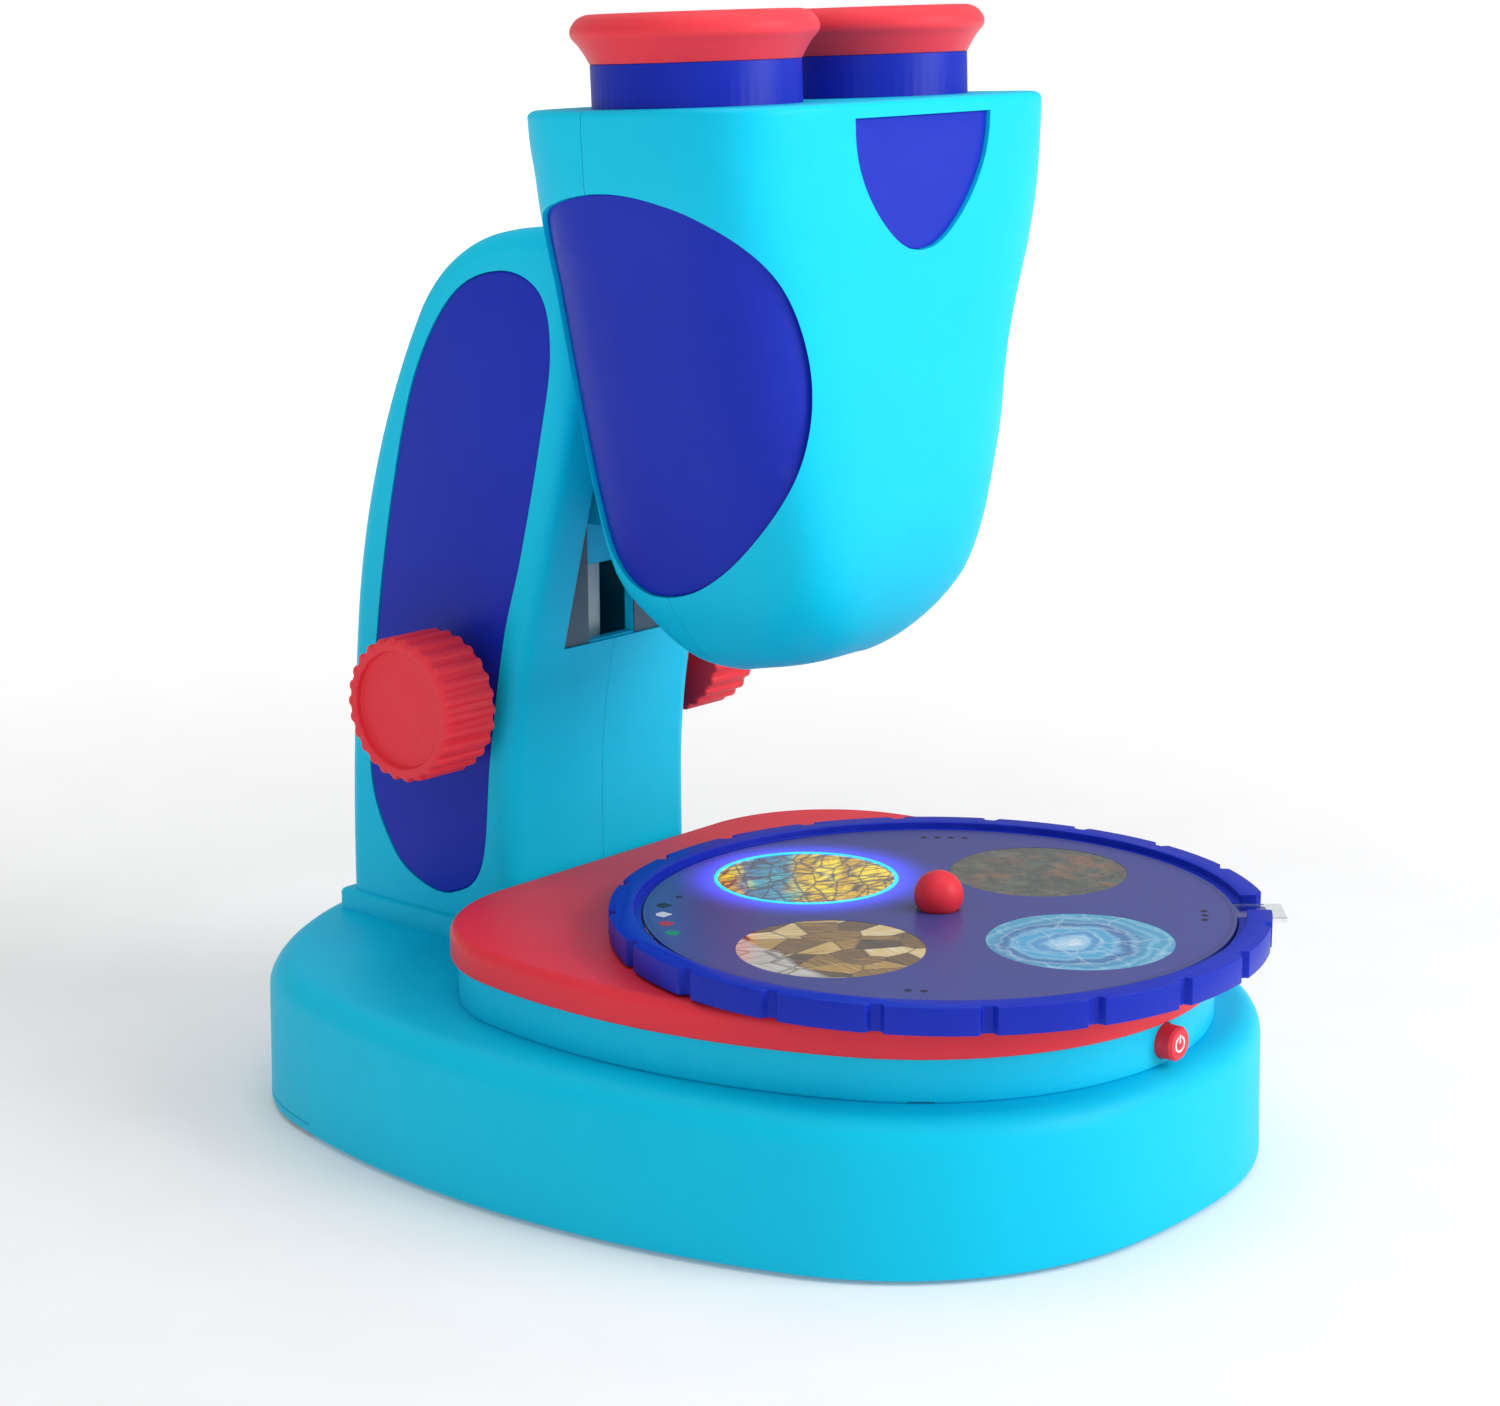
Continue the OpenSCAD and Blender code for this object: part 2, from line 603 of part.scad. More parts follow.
// ---- Head ---------------------------------------------------------------------------
// Cross-sections of the head from the nose up: height, half width, front Y, back Y.
head_sections = [
    [100.8, 6, -3, 9], [103, 13, -12, 13], [107, 19, -24, 17], [112, 23.5, -30.5, 19.5],
    [119, 28.6, -35.5, 22.6], [128, 32.4, -39, 24.4], [138, 35.4, -40.6, 25.2],
    [184, 47.4, -41.6, 25.9], [207, 53, -42, 26.4], [216, 53.6, -42.2, 27.7], [226, 53.9, -42.3, 28.5]
];
head_power = 5;
ring_n = 48;
function curve(c, p) = (c < 0 ? -1 : 1) * pow(abs(c), 2 / p);
function head_ring(s, inset) =
    let(a = s[1] - inset, b = (s[3] - s[2]) / 2 - inset, m = (s[3] + s[2]) / 2)
    [for (i = [0:ring_n - 1]) let(t = (i + 0.5) * 360 / ring_n)
        [a * curve(cos(t), head_power), m + b * curve(sin(t), head_power)]];
module head_form(inset, lift = 0) {
    last = len(head_sections) - 1;
    points = [for (s = head_sections) for (q = head_ring(s, inset)) [q[0], q[1], s[0] + lift]];
    faces = concat(
        [[for (i = [0:ring_n - 1]) i]],
        [for (k = [0:last - 1]) for (i = [0:ring_n - 1])
            [k * ring_n + i, (k + 1) * ring_n + i,
                (k + 1) * ring_n + (i + 1) % ring_n, k * ring_n + (i + 1) % ring_n]],
        [[for (i = [ring_n - 1:-1:0]) last * ring_n + i]]
    );
    polyhedron(points, faces, convexity = 4);
}
// Places children on the head's leaning top face, at the middle between the eyepieces.
module on_top() {
    translate([0, eye_y, head_top]) rotate([-head_lean, 0, 0]) children();
}
module head_body() {
    difference() {
        head_form(0);
        on_top() translate([-80, -80, 0]) cube([160, 160, 30]);
    }
}
module head_shell() {
    difference() {
        head_body();
        difference() {
            head_form(wall, 2.6);
            on_top() translate([-80, -80, -wall]) cube([160, 160, 40]);
        }
        // eyepiece holes
        on_top() for (s = [-1, 1]) translate([s * eye_x, 0, -20]) cylinder(h = 40, r = barrel_r + 0.1);
        // objective port
        translate([0, port_y, 90]) cylinder(h = 40, r = port_r + 0.1);
        // recesses for the side panels and the front shield
        difference() {
            union() {
                for (s = [-1, 1]) teardrop_prism(s, 0);
                shield_prism(0);
            }
            head_form(skin);
        }
    }
}
port_r = 13;
port_low = 107.6;
skin = 1.2;
// Teardrop seen from the side: x is Y, y is Z.
tear_curve = spline([
    [17.5, 160], [19.6, 188], [13.5, 202.5], [-4.3, 206], [-26.7, 201.4], [-38.2, 192.5], [-40.3, 179],
    [-40, 165], [-36.4, 148], [-17, 130], [-2, 120.8], [8.6, 123], [13.5, 137]
]);
// Full-depth prism of a side panel's outline, on the side given by s.
module teardrop_prism(s, shrink) {
    side_on(s > 0 ? 5 : -65) linear_extrude(60) polygon(inward(tear_curve, shrink));
}
shield_half = [[22.4, 220.6], [22, 214], [19.5, 207], [16.2, 202], [10, 196.6], [4.5, 193.9], [0, 193.3]];
module shield_prism(shrink) {
    translate([0, -20, 0]) rotate([90, 0, 0]) linear_extrude(40) offset(delta = -shrink)
        polygon(concat(shield_half,
            [for (i = [len(shield_half) - 2:-1:0]) [-shield_half[i][0], shield_half[i][1]]]));
}
// The layer just under the head's surface that the panels fill.
module head_skin() {
    difference() {
        head_form(0.5);
        head_form(skin - e);
    }
}
module head_front() {
    color(cyan) difference() {
        union() {
            intersection() {
                head_shell();
                translate([-80, -80, 80]) cube([160, 80 + split_y, 160]);
            }
            // ribbed bosses that take the screws
            for (p = head_screw_at) translate([p[0], split_y, p[1]]) rotate([90, 0, 0])
                cylinder(h = 9, r = 3.4);
            for (s = [-1, 1]) translate([s * 48.2 - 3.9, split_y - 9, 211.4]) cube([7.8, 9, 2]);
        }
        for (p = head_screw_at) translate([p[0], split_y + 1, p[1]]) rotate([90, 0, 0])
            cylinder(h = 8, r = 1.31);
    }
}
module head_back() {
    color(cyan) difference() {
        union() {
            intersection() {
                head_shell();
                translate([-80, split_y + 0.02, 80]) cube([160, 80, 160]);
            }
            // posts that carry the optics frame
            for (s = [-1, 1]) translate([s * 22, frame_back, frame_z + 1.2]) rotate([-90, 0, 0])
                cylinder(h = 24.2 - frame_back, r = 2.8);
            // posts for the screws that join the shells, ending flush in the rounded corners
            intersection() {
                for (p = head_screw_at) translate([p[0], 26, p[1]]) rotate([90, 0, 0])
                    cylinder(h = 26 - split_y - 0.02, r = 4.2);
                head_form(0.3);
            }
        }
        // window for the carriage neck
        translate([-neck_half - 0.1, 10, neck_z[0] - 0.1])
            cube([2 * neck_half + 0.2, 30, neck_z[1] - neck_z[0] + 0.2]);
        // counterbored screw holes
        for (p = head_screw_at) translate([p[0], 40, p[1]]) rotate([90, 0, 0]) {
            cylinder(h = 40 - screw_seat, r = 3.1);
            cylinder(h = 45, r = 1.45);
        }
    }
}
head_screw_at = [[44.6, 212.4], [-44.6, 212.4]];
screw_seat = 16.2;   // Y of the counterbores' floor
module head_screws() {
    color(steel) for (p = head_screw_at) translate([p[0], screw_seat + 1.8, p[1]]) rotate([90, 0, 0])
        screw(1.3, 20, 2.8, 1.8);
}
module head_panel(s) {
    intersection() {
        teardrop_prism(s, gap);
        head_skin();
    }
}
module head_panel_left() { color(royal) head_panel(-1); }
module head_panel_right() { color(royal) head_panel(1); }
module front_shield() {
    color(royal) intersection() {
        shield_prism(gap);
        head_skin();
    }
}

// ---- Optics -------------------------------------------------------------------------
module eyepiece() {
    rotate_extrude() union() {
        translate([barrel_r - 2, -5]) square([2, 13.8]);
        translate([barrel_r - 2, -5]) square([3.6, 2]);
        translate([barrel_r - 7, -3]) square([6, 2]);
    }
}
module eyepiece_left() { color(royal) on_top() translate([-eye_x, 0, 0]) eyepiece(); }
module eyepiece_right() { color(royal) on_top() translate([eye_x, 0, 0]) eyepiece(); }
module eyecup() {
    rotate_extrude() difference() {
        union() {
            polygon([[barrel_r - 4.4, 9], [barrel_r, 9], [25.2, 14.2], [25.2, 15.4],
                [22.4, 15.4], [18, 15.4]]);
            translate([22, 15.4]) circle(3.2);
            translate([16.9, 15.4]) square([5.1, 3.2]);
            translate([barrel_r - 4.4, 3]) square([2.2, 6.2]);
        }
        translate([0, 2]) square([barrel_r - 4.4, 20]);
    }
}
module eyecup_left() { color(coral) on_top() translate([-eye_x, 0, 0]) eyecup(); }
module eyecup_right() { color(coral) on_top() translate([eye_x, 0, 0]) eyecup(); }
module eye_lens() {
    rotate_extrude() intersection() {
        square([barrel_r - 2 - e, 8]);
        translate([0, -36]) circle(40);
        translate([0, -1 + e]) square([30, 3.6]);
    }
}
module eye_lens_left() { color([0.8, 0.9, 1, 0.5]) on_top() translate([-eye_x, 0, 0]) eye_lens(); }
module eye_lens_right() { color([0.8, 0.9, 1, 0.5]) on_top() translate([eye_x, 0, 0]) eye_lens(); }
module objective_tube() {
    color([0.06, 0.42, 0.52]) translate([0, port_y, 0]) difference() {
        translate([0, 0, port_low]) cylinder(h = 26, r = port_r);
        translate([0, 0, port_low - 1]) cylinder(h = 28, r = port_r - 2);
        translate([0, 0, port_low - 1]) cylinder(h = 4, r = port_r - 1.2);
    }
}
module objective_lens() {
    color([0.8, 0.9, 1, 0.5]) translate([0, port_y, port_low + 8]) rotate_extrude() intersection() {
        square([port_r - 2 - e, 5]);
        translate([0, -22]) circle(26);
    }
}
frame_z = 152;       // underside of the optics frame
frame_back = 14;
mirror_z = 169;
prism_half = 9.8;
module optics_frame() {
    color(dark) difference() {
        union() {
            translate([-35, -24, frame_z]) cube([70, 24 + frame_back, 2.4]);
            // boss over the posts of the back shell
            for (s = [-1, 1]) translate([s * 22 - 3.5, frame_back - 3, frame_z - 2]) cube([7, 3, 6.4]);
            // ribs under the two mirrors
            for (s = [-1, 1]) for (y = [-15, 2]) translate([0, y + 2, 0]) rotate([90, 0, 0]) linear_extrude(2)
                polygon([[s * 20.8, frame_z + 1], [s * 34.6, frame_z + 1], [s * 34.6, mirror_z + 5.6],
                    [s * 20.8, mirror_z - 8.2]]);
            // cheeks that hold the splitter prism
            for (s = [-1, 1]) translate([-5, port_y + s * 9.2 - 1, frame_z + 1]) cube([10, 2, 16.6]);
        }
        translate([0, port_y, 140]) cylinder(h = 30, r = 7.6);
    }
}
module splitter_prism() {
    color([0.8, 0.9, 1, 0.5]) translate([0, port_y + 8, mirror_z - prism_half / 2]) rotate([90, 0, 0])
        linear_extrude(16) polygon([[-prism_half, prism_half], [0, 0], [prism_half, prism_half]]);
}
module mirror_plate(s) {
    translate([s * eye_x, eye_y, mirror_z]) rotate([0, -s * 45, 0]) translate([-11, -10, -0.75])
        cube([22, 20, 1.5]);
}
module mirror_left() { color(steel) mirror_plate(-1); }
module mirror_right() { color(steel) mirror_plate(1); }

base_shell();
base_bottom();
rear_cover();
rubber_feet();
base_screws();
battery_holder();
battery_left();
battery_middle();
battery_right();
battery_springs();
battery_strip();
stage_housing();
stage_plate();
light_ring();
stage_lamp();
lamp_board();
control_board();
button_switch();
power_button();
power_mark();
specimen_tray();
tray_bush();
disc_carrier();
disc_card();
tray_knob();
specimen_crystal();
specimen_pyrite();
specimen_lava();
specimen_agate();
arm_left();
arm_right();
arm_panel_left();
arm_panel_right();
arm_screws();
focus_shaft();
focus_pinion();
knob_left();
knob_right();
focus_rack();
head_carriage();
head_front();
head_back();
head_panel_left();
head_panel_right();
front_shield();
head_screws();
eyepiece_left();
eyepiece_right();
eyecup_left();
eyecup_right();
eye_lens_left();
eye_lens_right();
optics_frame();
splitter_prism();
mirror_left();
mirror_right();
objective_tube();
objective_lens();
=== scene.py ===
import json
import math

import bmesh
import bpy
import numpy as np
from mathutils import Matrix, Vector


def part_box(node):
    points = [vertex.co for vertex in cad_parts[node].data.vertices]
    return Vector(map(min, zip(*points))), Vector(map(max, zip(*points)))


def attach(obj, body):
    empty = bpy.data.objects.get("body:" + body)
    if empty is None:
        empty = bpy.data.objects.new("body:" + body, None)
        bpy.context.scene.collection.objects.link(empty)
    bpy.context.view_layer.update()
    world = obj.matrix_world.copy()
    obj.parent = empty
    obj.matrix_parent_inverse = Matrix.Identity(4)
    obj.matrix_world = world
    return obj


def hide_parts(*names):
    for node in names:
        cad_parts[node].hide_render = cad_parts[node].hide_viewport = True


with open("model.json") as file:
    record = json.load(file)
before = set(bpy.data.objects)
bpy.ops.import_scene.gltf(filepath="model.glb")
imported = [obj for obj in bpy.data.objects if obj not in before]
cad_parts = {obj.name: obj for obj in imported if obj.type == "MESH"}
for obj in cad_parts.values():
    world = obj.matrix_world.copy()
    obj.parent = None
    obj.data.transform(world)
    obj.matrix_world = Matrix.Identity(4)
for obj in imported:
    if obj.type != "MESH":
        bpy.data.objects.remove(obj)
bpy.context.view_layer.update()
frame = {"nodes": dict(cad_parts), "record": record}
NODES = frame["nodes"]
RECORD = frame["record"]
SLOT_OF = {part["node"]: part["material_slot"] for part in RECORD["subparts"]}
BODY_OF = {node: body for body, nodes in RECORD["behaviour"]["bodies"].items() for node in nodes}
MM = 0.001


# ---- measures taken from the CAD frame, in millimetres -----------------------------------
def span(node):
    """Lowest and highest corner of a CAD node in millimetres."""
    low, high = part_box(node)
    return np.array(low) / MM, np.array(high) / MM


def middle(node):
    """Centre of a CAD node's box in millimetres."""
    low, high = span(node)
    return (low + high) / 2


TRAY = middle("tray_bush")
TRAY_Y = float(TRAY[1])
CARD_TOP = float(span("disc_card")[1][2])
WINDOW_R = float(span("specimen_crystal")[1][0] - span("specimen_crystal")[0][0]) / 2
PORT = middle("objective_lens")
KNOB = middle("focus_shaft")
KNOB_R = float(span("knob_right")[1][2] - span("knob_right")[0][2]) / 2
BASE_TOP = float(span("stage_housing")[0][2])
PLATE_LOW = float(span("stage_housing")[1][2])
PLATE_TOP = float(span("specimen_tray")[0][2]) - 0.6
COVER_TOP = float(span("rear_cover")[1][2])
COVER_Y = float(span("rear_cover")[0][1])
ARM_HALF = float(span("arm_right")[1][0])
ARM_LOW = float(span("arm_right")[0][2])
SPLIT_Y = float(span("head_front")[1][1])
EYE_X = float(middle("eyepiece_right")[0])
EYE_Y = float(middle("eye_lens_right")[1])
HEAD_TOP = 222.4
LEAN = 2.1
HEAD_SCREW_X = 44.6
HEAD_SCREW_Z = 212.4
SCREW_SEAT = 16.2
PANEL_FLOOR = 1.3   # depth of the recesses in the head
PANEL_DROP = 0.9    # how far the head's panels sit below its skin


# ---- outlines made of tangent arcs --------------------------------------------------------
def ahead(heading):
    return np.array([math.cos(math.radians(heading)), math.sin(math.radians(heading))])


def side(heading):
    return np.array([-math.sin(math.radians(heading)), math.cos(math.radians(heading))])


def chain(start, heading, runs):
    """Arcs that follow one another; the interior is on the left. A radius of 0 is a straight run."""
    point = np.array(start, float)
    arcs = []
    for radius, sweep in runs:
        if radius == 0:
            arcs.append((point.copy(), 0, heading, sweep))
            point = point + sweep * ahead(heading)
            continue
        turn = 1 if sweep > 0 else -1
        centre = point + turn * radius * side(heading)
        first = heading - 90 * turn
        arcs.append((centre, radius, first, sweep))
        point = centre + radius * ahead(first + sweep)
        heading += sweep
    return arcs, point, heading


def outline(arcs, inset=0.0, step=1.0):
    """Points along the arcs, set in from them by the given distance."""
    points = []
    for centre, radius, first, sweep in arcs:
        if radius == 0:
            for k in (0.0, 0.25, 0.5, 0.75):
                points.append(centre + k * sweep * ahead(first) + inset * side(first))
            continue
        count = max(2, math.ceil(abs(sweep) / step))
        reach = radius - (inset if sweep > 0 else -inset)
        for k in range(count):
            points.append(centre + reach * ahead(first + sweep * k / count))
    return np.array(points)


def base_arcs():
    half = [(160, 5.8), (68.3, 63.1), (217, 36.9), (48, 32.2)]
    front = [0, -111.2]
    _, end, heading = chain(front, 0, half)
    back_r = end[0] / math.sin(math.radians(heading))
    runs = half + [(back_r, 180 - heading)]
    return chain(front, 0, runs + runs[::-1])[0]


def plate_arcs():
    half = [(66.1, 63.6), (142, 36.4), (36, 80)]
    front = [0, TRAY_Y - 59]
    _, end, _ = chain(front, 0, half)
    return chain(front, 0, half + [(0, 2 * end[0])] + half[::-1])[0]


ARM_BACK_Y = 104
ARM_START = 30


def arm_arcs():
    """The arm's outline from the side: x is the frame's Y and y is its Z."""
    runs = [(0, 7.2), (572, 6.83), (189, 22.57), (38, 47.5), (73, 13.1), (8, 90),
            (0, 13), (56, 14.6), (0, 58.4), (164, -14.6), (0, 33.3), (6, 90)]
    arcs, point, _ = chain([ARM_BACK_Y, ARM_START], 90, runs)
    low = ARM_START - point[1]
    return arcs + chain(point, 0, [(0, ARM_BACK_Y - low - point[0]), (low, 90)])[0]


def spline(points, steps=16):
    """A closed smooth curve through the given points."""
    p = np.array(points, float)
    n = len(p)
    out = []
    for i in range(n):
        a, b, c, d = p[i - 1], p[i], p[(i + 1) % n], p[(i + 2) % n]
        for k in range(steps):
            t = k / steps
            out.append(0.5 * (2 * b + (c - a) * t + (2 * a - 5 * b + 4 * c - d) * t * t
                              + (3 * b - a - 3 * c + d) * t ** 3))
    return np.array(out)


def shrink_outline(points, inset):
    """Sets a closed outline in along its own normals."""
    step = np.roll(points, -1, axis=0) - np.roll(points, 1, axis=0)
    step /= np.linalg.norm(step, axis=1)[:, None]
    area = np.sum(points[:, 0] * np.roll(points[:, 1], -1) - np.roll(points[:, 0], -1) * points[:, 1])
    normal = np.stack([-step[:, 1], step[:, 0]], 1) * (1 if area > 0 else -1)
    return points + inset * normal


# ---- meshes -------------------------------------------------------------------------------
def make_object(name, points_mm, faces):
    mesh = bpy.data.meshes.new(name)
    mesh.from_pydata([tuple(p) for p in np.array(points_mm, float) * MM], [], faces)
    mesh.validate()
    mesh.update()
    solid = bmesh.new()
    solid.from_mesh(mesh)
    inside_out = solid.calc_volume(signed=True) < 0
    solid.free()
    if inside_out:
        mesh.flip_normals()
    obj = bpy.data.objects.new(name, mesh)
    bpy.context.scene.collection.objects.link(obj)
    return obj


def loft(name, rings, closed_ends=True):
    """Quads between equal rings of points, with the faces turned outwards."""
    n = len(rings[0])
    points = np.concatenate([np.array(r, float) for r in rings])
    faces = []
    for k in range(len(rings) - 1):
        for i in range(n):
            j = (i + 1) % n
            faces.append((k * n + i, k * n + j, (k + 1) * n + j, (k + 1) * n + i))
    if closed_ends:
        faces.append(tuple(range(n - 1, -1, -1)))
        faces.append(tuple(range((len(rings) - 1) * n, len(rings) * n)))
    return make_object(name, points, faces)


def flat_ring(points, z):
    return np.column_stack([points, np.full(len(points), z)])


def rounded(arcs, low, high, top_r=0.0, low_r=0.0, inset=0.0, step=1.0, count=6, flare=0.0):
    """Rings of a moulded housing with rounded top and bottom edges; flare widens its foot."""
    levels = []
    if low_r > 0:
        for k in range(count):
            a = math.radians(90 * k / count)
            levels.append((low_r * (1 - math.sin(a)), low + low_r * (1 - math.cos(a))))
    levels.append((0.0, low + low_r))
    levels.append((0.0, high - top_r))
    if top_r > 0:
        for k in range(1, count + 1):
            a = math.radians(90 * k / count)
            levels.append((top_r * (1 - math.cos(a)), high - top_r * (1 - math.sin(a))))
    return [flat_ring(outline(arcs, inset + d - flare * (high - z) / (high - low), step), z)
            for d, z in levels]


def turned(name, profile, centre, axis=(0, 0, 1), count=128):
    """A round piece: profile is a list of (radius, height) along the axis from its centre."""
    axis = Vector(axis).normalized()
    turn = Vector((0, 0, 1)).rotation_difference(axis).to_matrix()
    rings = []
    for radius, height in profile:
        angles = np.arange(count) * 2 * math.pi / count
        ring = np.column_stack([radius * np.cos(angles), radius * np.sin(angles), np.full(count, height)])
        rings.append(ring @ np.array(turn).T + np.array(centre, float))
    return loft(name, rings)


def block(name, low, high):
    x0, y0, z0 = low
    x1, y1, z1 = high
    ring = np.array([[x0, y0], [x1, y0], [x1, y1], [x0, y1]])
    return loft(name, [flat_ring(ring, z0), flat_ring(ring, z1)])


def plug(name, centre, axis, radius, length, count=96):
    """A plain cylinder used to cut a hole."""
    return turned(name, [(radius, -length / 2), (radius, length / 2)], centre, axis, count)


def carve(obj, tool, how="DIFFERENCE"):
    """Applies one boolean with the tool and removes the tool."""
    step = obj.modifiers.new("carve", "BOOLEAN")
    step.operation = how
    step.solver = "EXACT"
    step.object = tool
    bpy.context.view_layer.update()
    mesh = bpy.data.meshes.new_from_object(obj.evaluated_get(bpy.context.evaluated_depsgraph_get()))
    obj.modifiers.clear()
    old = obj.data
    obj.data = mesh
    bpy.data.meshes.remove(old)
    bpy.data.objects.remove(tool, do_unlink=True)
    return obj


def twin(obj, name):
    """A separate copy of a piece."""
    copy = bpy.data.objects.new(name, obj.data.copy())
    bpy.context.scene.collection.objects.link(copy)
    return copy


def mirrored(obj, name):
    """A copy of a piece on the other side of the mirror plane."""
    copy = twin(obj, name)
    copy.data.transform(Matrix.Scale(-1, 4, (1, 0, 0)))
    copy.data.flip_normals()
    return copy


def merge_into(obj, *others):
    """Adds other meshes to obj as loose islands."""
    build = bmesh.new()
    build.from_mesh(obj.data)
    for other in others:
        build.from_mesh(other.data)
        bpy.data.objects.remove(other, do_unlink=True)
    build.to_mesh(obj.data)
    build.free()
    return obj


def finish_piece(obj, finish, angle):
    """Smooth shading with sharp edges over the angle, and one finish."""
    obj.data.shade_smooth()
    obj.data.set_sharp_from_angle(angle=math.radians(angle))
    obj.data.materials.clear()
    obj.data.materials.append(finish)


def place(obj, *nodes, angle=32):
    """The finished piece stands for its CAD nodes, with their body and finish."""
    finish_piece(obj, FINISH[SLOT_OF[nodes[0]]], angle)
    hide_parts(*nodes)
    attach(obj, BODY_OF[nodes[0]])


def detail(obj, body, finish, angle=32):
    """A small extra piece that only shows, such as a print or a glow."""
    finish_piece(obj, finish, angle)
    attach(obj, body)


# ---- shader node groups: they give colours, masks, heights and values only ----------------
def new_group(name, inputs, outputs):
    group = bpy.data.node_groups.new(name, "ShaderNodeTree")
    for label, kind, value in inputs:
        socket = group.interface.new_socket(name=label, in_out="INPUT", socket_type=kind)
        if value is not None:
            socket.default_value = value
    for label, kind in outputs:
        group.interface.new_socket(name=label, in_out="OUTPUT", socket_type=kind)
    return group, group.nodes.new("NodeGroupInput"), group.nodes.new("NodeGroupOutput")


class Wiring:
    """Adds nodes to one tree and links them, with values or sockets as inputs."""

    def __init__(self, tree):
        self.tree = tree

    def add(self, kind, inputs=None, **settings):
        node = self.tree.nodes.new(kind)
        for key, value in settings.items():
            setattr(node, key, value)
        for key, value in (inputs or {}).items():
            self.feed(node.inputs[key], value)
        return node

    def feed(self, socket, value):
        if isinstance(value, bpy.types.NodeSocket):
            self.tree.links.new(value, socket)
        elif value is not None:
            socket.default_value = value

    def math(self, operation, a, b=0.0, c=0.0, clamp=False):
        node = self.add("ShaderNodeMath", operation=operation, use_clamp=clamp)
        for socket, value in zip(node.inputs, (a, b, c)):
            self.feed(socket, value)
        return node.outputs[0]

    def blend(self, a, share_a, b, share_b):
        """A weighted sum of two values."""
        return self.math("ADD", self.math("MULTIPLY", a, share_a), self.math("MULTIPLY", b, share_b))

    def vector(self, operation, a, b=(0, 0, 0), scale=None):
        node = self.add("ShaderNodeVectorMath", operation=operation)
        self.feed(node.inputs[0], a)
        self.feed(node.inputs[1], b)
        if scale is not None:
            self.feed(node.inputs["Scale"], scale)
        return node.outputs["Value" if operation in ("LENGTH", "DISTANCE", "DOT_PRODUCT") else "Vector"]

    def mix(self, amount, a, b, blend="MIX"):
        node = self.add("ShaderNodeMix", data_type="RGBA", blend_type=blend, clamp_factor=True)
        self.feed(node.inputs[0], amount)
        self.feed(node.inputs[6], a)
        self.feed(node.inputs[7], b)
        return node.outputs[2]

    def ramp(self, value, *stops, smooth=True):
        node = self.add("ShaderNodeValToRGB", {"Fac": value})
        node.color_ramp.interpolation = "EASE" if smooth else "LINEAR"
        stops = [(at, c if len(c) == 4 else (*c, 1)) for at, c in stops]
        for element, (at, colour) in zip(node.color_ramp.elements, (stops[0], stops[-1])):
            element.position, element.color = at, colour
        for at, colour in stops[1:-1]:
            node.color_ramp.elements.new(at).color = colour
        return node.outputs["Color"]

    def remap(self, value, low, high, to_low=0.0, to_high=1.0):
        node = self.add("ShaderNodeMapRange", {"Value": value, "From Min": low, "From Max": high,
                                               "To Min": to_low, "To Max": to_high})
        return node.outputs["Result"]

    def noise(self, vector, scale, detail=3.0, rough=0.5, distortion=0.0):
        node = self.add("ShaderNodeTexNoise", {"Vector": vector, "Scale": scale, "Detail": detail,
                                               "Roughness": rough, "Distortion": distortion})
        return node.outputs["Fac"], node.outputs["Color"]

    def spin(self, vector, angle):
        """The vector turned about the upright axis, by radians or by a socket's value."""
        node = self.add("ShaderNodeVectorRotate", {"Vector": vector, "Angle": angle}, rotation_type="Z_AXIS")
        return node.outputs[0]

    def group(self, group, inputs=None):
        node = self.add("ShaderNodeGroup", node_tree=group)
        for key, value in (inputs or {}).items():
            self.feed(node.inputs[key], value)
        return node


def moulded_skin():
    """Fine spark-eroded grain, slow colour drift and light scuffs of an injection moulding."""
    group, start, end = new_group("moulded_skin", [
        ("Position", "NodeSocketVector", None),
        ("Grain size", "NodeSocketFloat", 0.35),
    ], [("Height", "NodeSocketFloat"), ("Drift", "NodeSocketFloat"), ("Scuff", "NodeSocketFloat")])
    w = Wiring(group)
    place_mm = w.vector("SCALE", start.outputs["Position"], scale=1000.0)
    finer = w.math("DIVIDE", 1.0, start.outputs["Grain size"])
    fine, _ = w.noise(w.vector("SCALE", place_mm, scale=finer), 1.0, 4.0, 0.6)
    wide, _ = w.noise(place_mm, 0.16, 2.0, 0.5)
    drift, _ = w.noise(place_mm, 0.021, 2.0, 0.55)
    w.feed(end.inputs["Height"], w.blend(fine, 0.8, wide, 0.2))
    w.feed(end.inputs["Drift"], w.blend(drift, 0.75, wide, 0.25))
    streak, _ = w.noise(w.vector("MULTIPLY", place_mm, (0.09, 0.9, 0.35)), 1.0, 5.0, 0.65, 1.2)
    w.feed(end.inputs["Scuff"], w.remap(streak, 0.60, 0.78))
    return group


def worn_edge():
    """A mask that is 1 on sharp outer edges, broken up so that the wear looks handled."""
    group, start, end = new_group("worn_edge", [
        ("Position", "NodeSocketVector", None),
        ("Reach", "NodeSocketFloat", 0.5),
    ], [("Mask", "NodeSocketFloat")])
    w = Wiring(group)
    shape = w.add("ShaderNodeNewGeometry")
    peak = w.remap(shape.outputs["Pointiness"], 0.515, 0.60)
    broken, _ = w.noise(w.vector("SCALE", start.outputs["Position"], scale=1000.0), 0.6, 4.0, 0.6)
    w.feed(end.inputs["Mask"], w.math("MULTIPLY", w.math("MULTIPLY", peak, w.remap(broken, 0.35, 0.65)),
                                      start.outputs["Reach"], clamp=True))
    return group


SKIN = moulded_skin()
WEAR = worn_edge()


